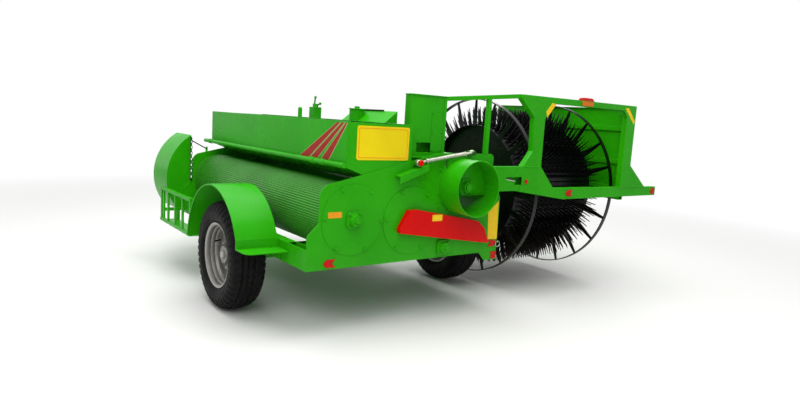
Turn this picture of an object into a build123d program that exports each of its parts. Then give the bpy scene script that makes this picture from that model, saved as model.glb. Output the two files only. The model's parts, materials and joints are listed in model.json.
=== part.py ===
from build123d import *
import os
from math import atan2, cos, degrees, radians, sin, sqrt

# Towed pumpkin-seed harvester: a two-wheeled body with sieve, crusher and seed tank,
# and a spiked pick-up drum in a frame on its right-hand side.
# Modelled in millimetres with X forward, Y to the left, Z up, and first about the point on the
# ground midway between the wheels; the finished nodes are then moved so that the origin is the
# middle of the machine's footprint.

# Running clearance round a shaft, and sheet thicknesses
RUN = 0.3
SHEET = 4.0
PLATE = 10.0
WALL = 6.0

# Wheels and axle
TYRE_R = 447.5
TYRE_W = 285.0
RIM_R = 255.0
RIM_LIP = 14.0
RIM_IN = 38.0
SPINDLE_R = 38.0
HUB_R = 75.0
AXLE_SIDE = 100.0
SADDLE_H = 17.5
WHEEL_GAP = 20.5
AXLE_Z = TYRE_R

# Main frame heights and ends
FRAME_LOW = AXLE_Z + AXLE_SIDE / 2 + SADDLE_H
RAIL_H = 160.0
RAIL_W = 80.0
RAIL_TOP = FRAME_LOW + RAIL_H
RAIL_OPEN = 290.0
REAR_X = -1000.0
FRONT_X = 1790.0
REAR_IN = REAR_X + PLATE
FRONT_IN = FRONT_X - PLATE
CROSS_W = 70.0
CROSS_H = 55.0

# Screen, crusher and their bolted covers
COVER_RIM = 6.0
COVER_T = 6.0
COVER_X = REAR_X - COVER_T
COVER_GAP = 5.0
CRUSHER_R = 266.0
CRUSHER_LIFT = 9.0
CRUSHER_Y = 75.0
CRUSHER_Z = FRAME_LOW + CROSS_H + CRUSHER_LIFT + CRUSHER_R
SIEVE_R = 262.0
SIEVE_LIFT = 43.0
SIEVE_Y = CRUSHER_Y + CRUSHER_R + SIEVE_R + 2 * COVER_RIM + COVER_GAP
SIEVE_Z = FRAME_LOW + CROSS_H + SIEVE_LIFT + SIEVE_R
BEARING_SIDE = 130.0
BEARING_H = 52.0
STUB_R = 22.0
STUB_L = 18.0
LOW_BEARING_IN = 350.0
LOW_BEARING_DOWN = 245.0
LOW_BEARING_Y = CRUSHER_Y - LOW_BEARING_IN
LOW_BEARING_Z = CRUSHER_Z - LOW_BEARING_DOWN

# Sides of the body: the end plates' left edge, the rails' outer faces and the wheels
PLATE_LEFT = SIEVE_Y + SIEVE_R + COVER_RIM + 2 * PLATE
RAIL_OUT = 12.0
LEFT_Y = PLATE_LEFT + RAIL_OUT + RAIL_W
RIGHT_Y = -920.0
HALF_TRACK = LEFT_Y + WHEEL_GAP + TYRE_W / 2

# Feed tube and its rotor
TUBE_R = 230.0
TUBE_LIFT = 370.0
TUBE_LAP = 11.0
TUBE_Y = CRUSHER_Y - CRUSHER_R - TUBE_R + TUBE_LAP
TUBE_Z = FRAME_LOW + TUBE_LIFT + TUBE_R
TUBE_REACH = 250.0
TUBE_MOUTH = REAR_X - TUBE_REACH
END_PLATE_IN = 70.0
END_PLATE_X = REAR_X - END_PLATE_IN
END_PLATE_DROP = 70.0
END_PLATE_LIP = 30.0
ROTOR_R = 30.0
PADDLE_GAP = 31.0
PADDLE_R = TUBE_R - SHEET - PADDLE_GAP
PADDLE_W = 90.0
PADDLE_T = 10.0
PADDLES = 12
PADDLE_TURN = 100.0
PADDLE_TWIST = 35.0

# Deck over the tube, feed opening and end plates
DECK_Z = TUBE_Z + TUBE_R
DECK_TOP = DECK_Z + WALL
FEED_X0 = -600.0
FEED_X1 = 1200.0
FEED_EDGE = 40.0
PLATE_RISE = 40.0
PLATE_TOP = DECK_Z + PLATE_RISE
SHOULDER_DIP = 9.0
SHOULDER_Z = SIEVE_Z + SIEVE_R - SHOULDER_DIP
PLATE_FLAT_Y = TUBE_Y + TUBE_R
BEND_IN = 120.0
BEND_UP = 485.0
BEND_H = 240.0
PLATE_RIGHT_TOP_Y = RIGHT_Y + BEND_IN
PLATE_BEND_LOW = FRAME_LOW + BEND_UP
PLATE_BEND_HIGH = PLATE_BEND_LOW + BEND_H
PLATE_STEP_UP = 100.0
PLATE_STEP = RAIL_TOP + PLATE_STEP_UP
PLATE_STEP_H = 85.0
TAB_W = 140.0
TAB_DROP = 75.0

# Screw link on the rear plate, its pins and the sloping bracket
PIN_R = 12.0
PIN_HEAD_R = 18.0
LINK_GAP = 22.0
LINK_W = 36.0
LINK_X1 = REAR_X - LINK_GAP
LINK_X0 = LINK_X1 - LINK_W
LINK_IN = 5.0
LINK_PAST = 90.0
LINK_LEFT_Y = CRUSHER_Y - LINK_IN
LINK_RIGHT_Y = TUBE_Y - LINK_PAST
LINK_DIP = 18.0
LINK_RISE = 8.0
BRACKET_OUT = 180.0
BRACKET_LEFT = CRUSHER_Y + BRACKET_OUT
BRACKET_L = 277.0
BRACKET_DROP = 50.0
BRACKET_DEPTH = 70.0
BRACKET_WEB = 52.0

# Belt guard: reach to each side of the crusher's axis, rise over it and drop below it
BELT_LEFT = 142.0
BELT_RIGHT = 837.0
BELT_RISE = 90.0
BELT_DROP = 237.0
BELT_DEPTH = 48.0

# Seed tank
TANK_OVER_SIEVE = 80.0
TANK_OVER_CRUSHER = 25.0
TANK_LEFT = SIEVE_Y + TANK_OVER_SIEVE
TANK_RIGHT = CRUSHER_Y + TANK_OVER_CRUSHER
TANK_CLEAR = 133.0
TANK_LOW = SIEVE_Z + SIEVE_R + TANK_CLEAR
TANK_SUMP = 115.0
TANK_SUMP_Z = TANK_LOW - TANK_SUMP
TANK_H = 330.0
TANK_TOP = TANK_LOW + TANK_H
TANK_RIM = 25.0
PIPE_R = 20.0
PIPE_PAST = 120.0
SLEEVE_L = 70.0

# What stands on the deck: column, roofed conveyor head, filler pipe and valve bank
COLUMN_X = -900.0
COLUMN_DEPTH = 80.0
COLUMN_GAP = 36.0
COLUMN_LEFT = TANK_RIGHT - COLUMN_GAP
COLUMN_W = 370.0
COLUMN_RIGHT = COLUMN_LEFT - COLUMN_W
COLUMN_H = 500.0
COLUMN_TOP = DECK_Z + COLUMN_H
COLUMN_LIP = 14.0
WINDOW_W = 150.0
WINDOW_H = 78.0
HEAD_H = 355.0
HEAD_TOP = DECK_Z + HEAD_H
HEAD_X0 = -500.0
HEAD_X1 = 200.0
HEAD_W = 194.0
HEAD_EAVE = 152.0
FILLER_X = -8.0
FILLER_IN = 100.0
FILLER_Y = TANK_RIGHT - FILLER_IN
FILLER_R = 68.0
FILLER_CAP = 10.0
VALVE_X = 775.0
VALVE_SIDE = 90.0
VALVE_FOOT_H = 210.0
VALVE_H = 145.0
SPOOL_R = 17.0
SPOOL_H = 34.0
LEVER_R = 8.0
LEVER_L = 75.0
FINGER_X = 1105.0
FINGER_R = 22.0
FINGER_H = 330.0

# Spiked drum: it clears the ground, and its arm clears the right wheel
SHELL_R = 630.0
SHELL_T = 5.0
SPIKE_H = 195.0
SPIKE_R = SHELL_R + SPIKE_H
SPIKE_BASE = 34.0
SPIKE_T = 8.0
SPIKE_STRIP = 12.0
SPIKE_ROWS = 40
SPIKES_PER_ROW = 14
HOOP_GAP = 72.0
HOOP_R = SPIKE_R + HOOP_GAP
HOOP_W = 45.0
HOOP_T = 10.0
HOOP_CLEAR = 84.5
DRUM_L = 1166.0
HOOP_NEAR = -(HALF_TRACK + TYRE_W / 2 + HOOP_CLEAR)
HOOP_FAR = HOOP_NEAR - DRUM_L
SPOKES = 20
SPOKE_BASE = 60.0
SPOKE_TIP = 24.0
DISC_IN = 70.0
DISC_T = 8.0
DRUM_SHAFT_R = 40.0
DRUM_HUB_R = 70.0
HUB_L = 60.0
SHAFT_GAP = 6.0
GROUND_GAP = 100.0
ARM_OVER_TYRE = 35.0
ARM_BELOW_AXIS = 67.0
DRUM_Z = max(HOOP_R + GROUND_GAP, 2 * TYRE_R + ARM_OVER_TYRE + ARM_BELOW_AXIS)

# Header frame round the drum
HEADER_BEHIND = 100.0
HEADER_REAR = REAR_X - HEADER_BEHIND
HEADER_DEPTH = 60.0
HEADER_FRONT = HEADER_REAR + HEADER_DEPTH
HEADER_CLEAR = 27.0
DRUM_X = HEADER_FRONT + HEADER_CLEAR + HOOP_R
BEAM_H = 100.0
BEAM_BELOW_AXIS = 22.0
BEAM_LOW = DRUM_Z - BEAM_BELOW_AXIS
BEAM_TOP = BEAM_LOW + BEAM_H
BEAM_FALL = 15.0
BEAM_GAP = 20.0
BEAM_LEFT = TUBE_Y - TUBE_R - BEAM_GAP
KNEE_RISE = 210.0
KNEE_STEP = 95.0
KNEE_TOP = BEAM_TOP + KNEE_RISE
KNEE_LOW = BEAM_LOW + KNEE_STEP
POST_H = 630.0
POST_TOP = KNEE_TOP + POST_H
POST_W = 130.0
POST_CLEAR = 75.0
POST_RIGHT = HOOP_NEAR + POST_CLEAR
POST_LEFT = POST_RIGHT + POST_W
GUSSET_LEFT = 193.0
GUSSET_RIGHT = 125.0
GUSSET_FOOT = 114.0
GUSSET_H = 140.0
TOP_BEAM_H = 55.0
SLOT_W = 200.0
SLOT_H = 68.0
SEAT_W = 100.0
SEAT_H = 130.0
SIDE_BEAM_W = 60.0
SIDE_CLEAR = 114.0
SIDE_Y = HOOP_FAR - SIDE_CLEAR - SIDE_BEAM_W
SIDE_IN = SIDE_Y + SIDE_BEAM_W
SIDE_POST_W = 150.0
SIDE_GUSSET = 70.0
SIDE_FOOT = 300.0
SIDE_FOOT_H = 225.0
BEAM_PAST = 520.0
BEAM_RIGHT = SIDE_Y - BEAM_PAST
SIDE_BEAM_LOW = DRUM_Z - ARM_BELOW_AXIS
PANEL_H = 815.0
PANEL_IN = 20.0
PANEL_FOLD = 30.0
RIB_H = 44.0
RIB_T = 18.0
FRONT_CLEAR = 79.0
FRONT_BEAM_X = DRUM_X + HOOP_R + FRONT_CLEAR
FRONT_BEAM_W = 80.0
FRONT_LEG = 60.0
ARM_T = 16.0
ARM_H = 180.0
ARM_CLEAR = 155.0
ARM_Y = HOOP_NEAR + ARM_CLEAR
BAR_SIDE = 36.0
MID_POST_GAP = 66.0
MID_POST_Y = TUBE_Y - TUBE_R - MID_POST_GAP

# Mudguard with its step, hood and side basket
GUARD_CLEAR = 132.5
GUARD_R = TYRE_R + GUARD_CLEAR
GUARD_T = 5.0
GUARD_GAP = 4.0
GUARD_WIDER = 49.0
GUARD_IN = LEFT_Y + GUARD_GAP
GUARD_W = TYRE_W + GUARD_WIDER
GUARD_FRONT = 8.0
GUARD_REAR = 157.0
STEP_UP = 97.0
STEP_Z = FRAME_LOW + STEP_UP
STEP_DEPTH = 200.0
STEP_ROUND = 70.0
STAY_H = 50.0
HOOD_R = 550.0
HOOD_L = 500.0
HOOD_UP = 35.0
HOOD_CHORD = PLATE_LEFT + RAIL_OUT
HOOD_LOW = FRAME_LOW + HOOD_UP
BASKET_OUT = 200.0
BASKET_Y = LEFT_Y + BASKET_OUT
BASKET_X0 = 900.0
BASKET_PAST = 70.0
BASKET_X1 = FRONT_X + BASKET_PAST
BASKET_DROP = 90.0
BASKET_H = 360.0
BASKET_LOW = FRAME_LOW - BASKET_DROP
BASKET_TOP = BASKET_LOW + BASKET_H
BASKET_BAR = 30.0
BASKET_BARS = 5
BASKET_FLOOR_IN = 40.0
BASKET_ARM_UP = 20.0

# Drawbar, hitch eye, drive input and jack
DRAW_Y = 150.0
DRAW_SIDE = 120.0
DRAW_WALL = 8.0
DRAW_L = 1510.0
DRAW_END = FRONT_X + DRAW_L
BRACE_SHARE = 0.62
BRACE_W = 70.0
BRACE_H = 80.0
EYE_NECK = 150.0
EYE_X = DRAW_END + EYE_NECK
EYE_R = 25.0
EYE_RING = 32.0
EYE_H = 40.0
EYE_FLANGE = 20.0
GEARBOX_UP = 345.0
GEARBOX_Z = FRAME_LOW + GEARBOX_UP
GEARBOX_L = 240.0
GEARBOX_SIDE = 220.0
GEARBOX_ROUND = 30.0
COLLAR_R = 55.0
COLLAR_L = 35.0
PTO_X = FRONT_X + GEARBOX_L + COLLAR_L
PTO_R = 17.45
PTO_L = 85.0
JACK_BACK = 300.0
JACK_X = DRAW_END - JACK_BACK
JACK_SIDE = 80.0
JACK_WALL = 6.0
JACK_OUT = 20.0
JACK_Y = DRAW_Y + DRAW_SIDE / 2 + JACK_OUT + JACK_SIDE / 2
JACK_DROP = 185.0
JACK_L = 660.0
JACK_LOW = FRAME_LOW - JACK_DROP
JACK_TOP = JACK_LOW + JACK_L
JACK_SLIDE = 0.5
CRANK_R = 10.0
CRANK_L = 170.0
CRANK_UP = 40.0
GRIP_R = 14.0
GRIP_L = 95.0
LEG_UP = 370.0
LEG_TOP = JACK_LOW + LEG_UP
LEG_WALL = 5.0
FOOT_SIDE = 180.0
FOOT_T = 12.0

# Reflectors, sign and lamp
ARROW_L = 106.0
ARROW_H = 60.0
REFLECTOR_SIDE = 64.0
REFLECTOR_T = 8.0
CAP_R = 20.0
SIGN_T = 3.0
SIGN_RIGHT = 35.0
SIGN_LEFT = 85.0
SIGN_LOW = 10.0
SIGN_TOP = 25.0
LAMP_PAST = 605.0
LAMP_Y = POST_RIGHT - LAMP_PAST
LAMP_L = 195.0
LAMP_W = 56.0
LAMP_H = 45.0
STRIP_L = 160.0
STRIP_H = 42.0
STRIP_T = 12.0

# Middle of the machine's footprint, where the finished nodes get their origin
ORIGIN = Vector(
    (TUBE_MOUTH + EYE_X + EYE_R + EYE_RING) / 2,
    (BEAM_RIGHT + GUARD_IN + GUARD_W) / 2,
    0,
)


def block(x0, x1, y0, y1, z0, z1):
    """Box between two corners."""
    middle = Pos((x0 + x1) / 2, (y0 + y1) / 2, (z0 + z1) / 2)
    return middle * Box(abs(x1 - x0), abs(y1 - y0), abs(z1 - z0))


def rod_x(x0, x1, y, z, r):
    """Round bar along X."""
    return Pos((x0 + x1) / 2, y, z) * Rot(0, 90, 0) * Cylinder(r, abs(x1 - x0))


def rod_y(y0, y1, x, z, r):
    """Round bar along Y."""
    return Pos(x, (y0 + y1) / 2, z) * Rot(90, 0, 0) * Cylinder(r, abs(y1 - y0))


def rod_z(z0, z1, x, y, r):
    """Round bar along Z."""
    return Pos(x, y, (z0 + z1) / 2) * Cylinder(r, abs(z1 - z0))


def face_of(points):
    """Flat face inside a closed outline."""
    return make_face(Polyline(*points, close=True))


def rounded(face, corners):
    """Face with each named corner (u, v, radius) rounded."""
    for u, v, radius in corners:
        corner = face.vertices().sort_by_distance((u, v, 0))[0]
        face = fillet(corner, radius)
    return face


def carried_x(face, x0, x1):
    """(Y, Z) face carried along X."""
    return extrude(Plane.YZ.offset(x0) * face, amount=x1 - x0)


def carried_y(face, y0, y1):
    """(X, Z) face carried along Y, from y0 down to y1."""
    return extrude(Plane.XZ.offset(-y0) * face, amount=y0 - y1)


def carried_z(face, z0, z1):
    """(X, Y) face carried along Z."""
    return extrude(Plane.XY.offset(z0) * face, amount=z1 - z0)


def inset(points, wall):
    """Outline moved inwards by a wall: each corner goes to where its two moved edges cross."""
    flat = [Vector(u, v) for u, v in points]
    count = len(flat)
    area = sum(flat[i - 1].X * flat[i].Y - flat[i].X * flat[i - 1].Y for i in range(count))
    turn = 1 if area > 0 else -1
    moved = []
    for i in range(count):
        before = (flat[i] - flat[i - 1]).normalized()
        after = (flat[(i + 1) % count] - flat[i]).normalized()
        inwards = Vector(-before.Y - after.Y, before.X + after.X) * turn
        step = inwards * (1 / (1 + before.dot(after)))
        moved.append((flat[i].X + step.X * wall, flat[i].Y + step.Y * wall))
    return moved


def box_section_x(points, x0, x1, wall):
    """Welded box of (Y, Z) outline: hollow between its two cheeks."""
    hollow = carried_x(face_of(inset(points, wall)), x0 + wall, x1 - wall)
    return carried_x(face_of(points), x0, x1) - hollow


def box_tube(x0, x1, y0, y1, z0, z1, axis, wall=WALL):
    """Rectangular tube, open at both ends along the named axis."""
    low = [x0 + wall, y0 + wall, z0 + wall]
    high = [x1 - wall, y1 - wall, z1 - wall]
    low["XYZ".index(axis)] -= 2 * wall
    high["XYZ".index(axis)] += 2 * wall
    return block(x0, x1, y0, y1, z0, z1) - block(low[0], high[0], low[1], high[1], low[2], high[2])


def bar_between(start, end, width, height):
    """Rectangular bar whose middle line runs from start to end."""
    a, b = Vector(*start), Vector(*end)
    run = b - a
    up = Vector(0, 0, 1)
    side = up.cross(run).normalized()
    frame = Plane((a + b) * 0.5, x_dir=run, z_dir=run.cross(side))
    return frame * Box(run.length, width, height)


def flange_bearing(seat, direction, bore, shaft_end=0.0):
    """Four-bolt flange bearing on a seat; a bore of 0 gives one closed by its shaft's end."""
    side = BEARING_SIDE
    shape = extrude(RectangleRounded(side, side, side * 0.2), amount=BEARING_H * 0.3)
    shape += Pos(0, 0, BEARING_H * 0.65) * Cone(side * 0.4, side * 0.32, BEARING_H * 0.7)
    if bore:
        shape -= Pos(0, 0, BEARING_H / 2) * Cylinder(bore, BEARING_H * 2)
    else:
        shape += Pos(0, 0, BEARING_H + shaft_end / 2) * Cylinder(STUB_R, shaft_end)
    return Plane(seat, z_dir=direction) * shape


def plate_top_at(y):
    """Height of the end plates' sloping top edge at Y."""
    share = (y - PLATE_FLAT_Y) / (PLATE_LEFT - PLATE_FLAT_Y)
    return PLATE_TOP + (SHOULDER_Z - PLATE_TOP) * share


def end_outline():
    """Outline of an end plate: it hugs the screen on the left and steps in on the right."""
    tab_in = RIGHT_Y + TAB_W
    face = face_of(
        [
            (LEFT_Y, FRAME_LOW),
            (tab_in + TAB_DROP, FRAME_LOW),
            (tab_in, FRAME_LOW - TAB_DROP),
            (RIGHT_Y, FRAME_LOW - TAB_DROP),
            (RIGHT_Y, PLATE_BEND_LOW),
            (PLATE_RIGHT_TOP_Y, PLATE_BEND_HIGH),
            (PLATE_RIGHT_TOP_Y, PLATE_TOP),
            (PLATE_FLAT_Y, PLATE_TOP),
            (PLATE_LEFT, SHOULDER_Z),
            (PLATE_LEFT, PLATE_STEP + PLATE_STEP_H),
            (LEFT_Y, PLATE_STEP),
        ]
    )
    return rounded(
        face,
        [
            (PLATE_LEFT, SHOULDER_Z, SIEVE_R * 0.35),
            (PLATE_RIGHT_TOP_Y, PLATE_TOP, PLATE * 4),
            (LEFT_Y, PLATE_STEP, PLATE * 5),
            (PLATE_LEFT, PLATE_STEP + PLATE_STEP_H, PLATE * 4),
        ],
    )


def link_pins():
    """Places of the two pins that hold the screw link, as (Y, Z)."""
    left = (LINK_LEFT_Y, plate_top_at(LINK_LEFT_Y) - LINK_DIP)
    return [left, (LINK_RIGHT_Y, PLATE_TOP + LINK_RISE)]


def rear_plate():
    """Rear end plate with the feed tube's hole and the screw link's pins."""
    plate = carried_x(end_outline(), REAR_X, REAR_IN)
    plate -= rod_x(REAR_X - 1, REAR_IN + 1, TUBE_Y, TUBE_Z, TUBE_R - SHEET)
    side = PIN_R * 2
    for y, z in link_pins():
        plate += block(REAR_X - PIN_R, REAR_X, y - side, y + side, z - side, z + PIN_HEAD_R)
        plate += rod_x(LINK_X0 - PIN_R, REAR_X, y, z, PIN_R)
        plate += rod_x(LINK_X0 - PIN_R, LINK_X0 - PIN_R / 3, y, z, PIN_HEAD_R)
    return plate


def front_plate():
    """Front end plate with a bush hole for the feed rotor."""
    plate = carried_x(end_outline(), FRONT_IN, FRONT_X)
    return plate - rod_x(FRONT_IN - 1, FRONT_X + 1, TUBE_Y, TUBE_Z, ROTOR_R + RUN)


def main_frame():
    """Two rectangular rails and three cross tubes, welded; the left rail's rear end is open above."""
    frame = box_tube(REAR_IN, FRONT_IN, LEFT_Y - RAIL_W, LEFT_Y, FRAME_LOW, RAIL_TOP, "X")
    frame -= block(
        REAR_IN, REAR_IN + RAIL_OPEN, LEFT_Y - RAIL_W + WALL, LEFT_Y - WALL, RAIL_TOP - 2 * WALL, RAIL_TOP + 1
    )
    frame += box_tube(REAR_IN, FRONT_IN, RIGHT_Y, RIGHT_Y + RAIL_W, FRAME_LOW, RAIL_TOP, "X")
    cross_top = FRAME_LOW + CROSS_H
    for x0 in (REAR_IN, FRONT_X * 0.45, FRONT_IN - CROSS_W):
        frame += box_tube(
            x0, x0 + CROSS_W, RIGHT_Y + RAIL_W, LEFT_Y - RAIL_W, FRAME_LOW, cross_top, "Y"
        )
    return frame


def axle_beam():
    """Square axle under the rails, with its saddles and the two spindles."""
    half = AXLE_SIDE / 2
    low, top = AXLE_Z - half, AXLE_Z + half
    reach = HALF_TRACK - TYRE_W / 2 - WHEEL_GAP
    beam = block(-half, half, -reach, reach, low, top)
    beam -= block(
        -half + PLATE, half - PLATE, -reach + PLATE, reach - PLATE, low + PLATE, top - PLATE
    )
    saddle = half * 1.6
    for y in (LEFT_Y - RAIL_W / 2, RIGHT_Y + RAIL_W / 2):
        beam += block(-saddle, saddle, y - RAIL_W / 2, y + RAIL_W / 2, top, FRAME_LOW)
    for side in (-1, 1):
        beam += rod_y(side * reach, side * (HALF_TRACK + WHEEL_GAP), 0, AXLE_Z, SPINDLE_R)
    return beam


def sieve_screen():
    """Screen cylinder between the end plates."""
    outer = rod_x(REAR_IN, FRONT_IN, SIEVE_Y, SIEVE_Z, SIEVE_R)
    return outer - rod_x(REAR_IN - 1, FRONT_IN + 1, SIEVE_Y, SIEVE_Z, SIEVE_R - SHEET)


def crusher_housing():
    """Plain cylinder beside the screen."""
    outer = rod_x(REAR_IN, FRONT_IN, CRUSHER_Y, CRUSHER_Z, CRUSHER_R)
    return outer - rod_x(REAR_IN - 1, FRONT_IN + 1, CRUSHER_Y, CRUSHER_Z, CRUSHER_R - SHEET)


def drum_covers():
    """Round bolted covers over the two cylinders' rear ends."""
    return [
        rod_x(COVER_X, REAR_X, SIEVE_Y, SIEVE_Z, SIEVE_R + COVER_RIM),
        rod_x(COVER_X, REAR_X, CRUSHER_Y, CRUSHER_Z, CRUSHER_R + COVER_RIM),
    ]


def rear_bearings():
    """Flange bearings of the screen, the lower shaft and the feed rotor."""
    rear = (-1, 0, 0)
    return [
        flange_bearing((COVER_X, SIEVE_Y, SIEVE_Z), rear, 0, STUB_L),
        flange_bearing((REAR_X, LOW_BEARING_Y, LOW_BEARING_Z), rear, 0, STUB_L),
        flange_bearing((END_PLATE_X - SHEET, TUBE_Y, TUBE_Z), rear, ROTOR_R + RUN),
    ]


def discharge_tube():
    """Short round tube on the rear plate, open to the rear."""
    outer = rod_x(TUBE_MOUTH, REAR_X, TUBE_Y, TUBE_Z, TUBE_R)
    return outer - rod_x(TUBE_MOUTH - 1, REAR_X + 1, TUBE_Y, TUBE_Z, TUBE_R - SHEET)


def tube_end_plate():
    """Plate across the tube that carries the rotor's bearing, cut off below with a turned lip."""
    x0, x1 = END_PLATE_X - SHEET, END_PLATE_X
    disc = rod_x(x0, x1, TUBE_Y, TUBE_Z, TUBE_R - SHEET)
    low = TUBE_Z - END_PLATE_DROP
    disc -= block(x0 - 1, x1 + 1, TUBE_Y - TUBE_R, TUBE_Y + TUBE_R, low - TUBE_R, low)
    chord = sqrt((TUBE_R - SHEET) ** 2 - END_PLATE_DROP**2) - SHEET
    disc += block(x0 - END_PLATE_LIP, x0, TUBE_Y - chord, TUBE_Y + chord, low, low + SHEET)
    return disc - rod_x(x0 - 1, x1 + 1, TUBE_Y, TUBE_Z, ROTOR_R + RUN)


def feed_trough():
    """Lower half of the feed tube, running on between the end plates."""
    outer = rod_x(REAR_IN, FRONT_IN, TUBE_Y, TUBE_Z, TUBE_R)
    outer -= rod_x(REAR_IN - 1, FRONT_IN + 1, TUBE_Y, TUBE_Z, TUBE_R - SHEET)
    reach = TUBE_R + 1
    above = block(REAR_IN, FRONT_IN, TUBE_Y - reach, TUBE_Y + reach, TUBE_Z, TUBE_Z + reach)
    return outer - above


def feed_auger():
    """Feed rotor: a shaft with twisted paddles set round it in a spiral."""
    rear = END_PLATE_X - SHEET - BEARING_H - PLATE
    rotor = rod_x(rear, FRONT_X + PLATE, TUBE_Y, TUBE_Z, ROTOR_R)
    pitch = (FRONT_IN - REAR_IN) / (PADDLES + 1)
    root = ROTOR_R * 0.5
    blade = Pos(0, 0, (PADDLE_R + root) / 2) * Box(PADDLE_W, PADDLE_T, PADDLE_R - root)
    for i in range(PADDLES):
        turned = Rot(i * PADDLE_TURN, 0, 0) * Rot(0, 0, PADDLE_TWIST) * blade
        rotor += Pos(REAR_IN + pitch * (i + 1), TUBE_Y, TUBE_Z) * turned
    return rotor


def belt_guard():
    """Folded guard over the belt drive from the crusher's shaft to the lower right, open at the back."""
    y, z = CRUSHER_Y, CRUSHER_Z
    crown = (y - BELT_LEFT * 0.18, z + BELT_RISE)
    bend = (y - BELT_RIGHT * 0.83, z - BELT_DROP * 0.14)
    nose = (y + BELT_LEFT, z - BELT_RISE * 0.6)
    chin = (y + BELT_LEFT * 0.98, z - BELT_RISE)
    face = face_of(
        [
            nose,
            (y + BELT_LEFT * 0.4, z + BELT_RISE * 0.95),
            crown,
            bend,
            (y - BELT_RIGHT * 0.93, z - BELT_DROP * 0.42),
            (y - BELT_RIGHT, z - BELT_DROP),
            chin,
        ]
    )
    soft, crisp = BELT_RISE * 0.65, BELT_RISE * 0.15
    face = rounded(face, [(*crown, soft), (*bend, soft), (*nose, crisp), (*chin, crisp)])
    inner = offset(face, amount=-SHEET, kind=Kind.INTERSECTION)
    outside = COVER_X - BELT_DEPTH
    return carried_x(face, outside, COVER_X) - carried_x(inner, outside + SHEET, COVER_X + 1)


def top_link():
    """Screw link between the two pins on the rear plate."""
    (y0, z0), (y1, z1) = link_pins()
    length = sqrt((y1 - y0) ** 2 + (z1 - z0) ** 2)
    turn = degrees(atan2(z1 - z0, y1 - y0))
    half = LINK_W / 2
    rod = Pos(0, length / 2, 0) * Rot(90, 0, 0) * Cylinder(PIN_R * 0.8, length - PIN_R)
    rod += Pos(0, length * 0.52, 0) * Rot(90, 0, 0) * Cylinder(PIN_R * 1.5, length * 0.55)
    for end in (0, length):
        rod += rod_x(-half, half, end, 0, PIN_R * 2)
        rod -= rod_x(-LINK_W, LINK_W, end, 0, PIN_R + RUN)
    return Pos((LINK_X0 + LINK_X1) / 2, y0, z0) * Rot(turn, 0, 0) * rod


def plate_bracket():
    """Sloping angle bracket on the rear plate: a top flange with a web hanging from its edge."""
    ya, yb = BRACKET_LEFT, BRACKET_LEFT - BRACKET_L
    za, zb = plate_top_at(ya) - BRACKET_DROP * 1.5, plate_top_at(yb) - BRACKET_DROP
    outside = REAR_X - BRACKET_DEPTH
    flange = face_of([(ya, za), (yb, zb), (yb, zb - PLATE), (ya, za - PLATE)])
    web = face_of([(ya, za), (yb, zb), (yb, zb - BRACKET_WEB), (ya, za - BRACKET_WEB - PLATE)])
    return carried_x(flange, outside, REAR_X) + carried_x(web, outside, outside + WALL)


def tank_side(y0, y1, rim_to):
    """One long side of the tank, with its top edge folded inwards."""
    side = block(REAR_IN, FRONT_IN, y0, y1, TANK_LOW, TANK_TOP)
    edge = [y0, y1, rim_to]
    return side + block(REAR_IN, FRONT_IN, min(edge), max(edge), TANK_TOP - SHEET, TANK_TOP)


def tank_left():
    return tank_side(TANK_LEFT - SHEET, TANK_LEFT, TANK_LEFT - TANK_RIM)


def tank_right():
    return tank_side(TANK_RIGHT, TANK_RIGHT + SHEET, TANK_RIGHT + TANK_RIM)


def tank_ends():
    """Front and rear walls of the tank, standing on its floor."""
    sump = (TANK_LEFT + TANK_RIGHT) / 2
    left, right = TANK_LEFT - SHEET, TANK_RIGHT + SHEET
    top = TANK_TOP - SHEET
    face = face_of(
        [(left, top), (left, TANK_LOW), (sump, TANK_SUMP_Z), (right, TANK_LOW), (right, top)]
    )
    return [
        carried_x(face, REAR_IN, REAR_IN + SHEET),
        carried_x(face, FRONT_IN - SHEET, FRONT_IN),
    ]


def tank_floor():
    """V-shaped floor of the tank."""
    sump = (TANK_LEFT + TANK_RIGHT) / 2
    face = face_of(
        [
            (TANK_LEFT, TANK_LOW),
            (sump, TANK_SUMP_Z),
            (TANK_RIGHT, TANK_LOW),
            (TANK_RIGHT, TANK_LOW - SHEET),
            (sump, TANK_SUMP_Z - SHEET * 1.1),
            (TANK_LEFT, TANK_LOW - SHEET),
        ]
    )
    return carried_x(face, REAR_IN, FRONT_IN)


def tank_pipe():
    """Pipe along the foot of the tank's left side, with its sleeves."""
    y, z = TANK_LEFT + PIPE_R * 1.25, TANK_LOW + PIPE_R / 2
    pipe = rod_x(REAR_X - PLATE, FRONT_X + PIPE_PAST, y, z, PIPE_R)
    for x in (REAR_IN + SLEEVE_L * 3.7, REAR_IN + SLEEVE_L * 6, FRONT_IN - SLEEVE_L):
        pipe += rod_x(x, x + SLEEVE_L, y, z, PIPE_R * 1.25)
    return pipe


def top_deck():
    """Deck of four sheets beside the tank, laid round the feed opening with hairline seams."""
    right, left = PLATE_RIGHT_TOP_Y + PLATE, TANK_RIGHT
    half = TUBE_R - FEED_EDGE
    inner_x0, inner_x1 = FEED_X0 + RUN, FEED_X1 - RUN
    sheets = [
        (REAR_IN, FEED_X0, right, left),
        (FEED_X1, FRONT_IN, right, left),
        (inner_x0, inner_x1, TUBE_Y + half, left),
        (inner_x0, inner_x1, right, TUBE_Y - half),
    ]
    return [block(x0, x1, y0, y1, DECK_Z, DECK_TOP) for x0, x1, y0, y1 in sheets]


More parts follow.
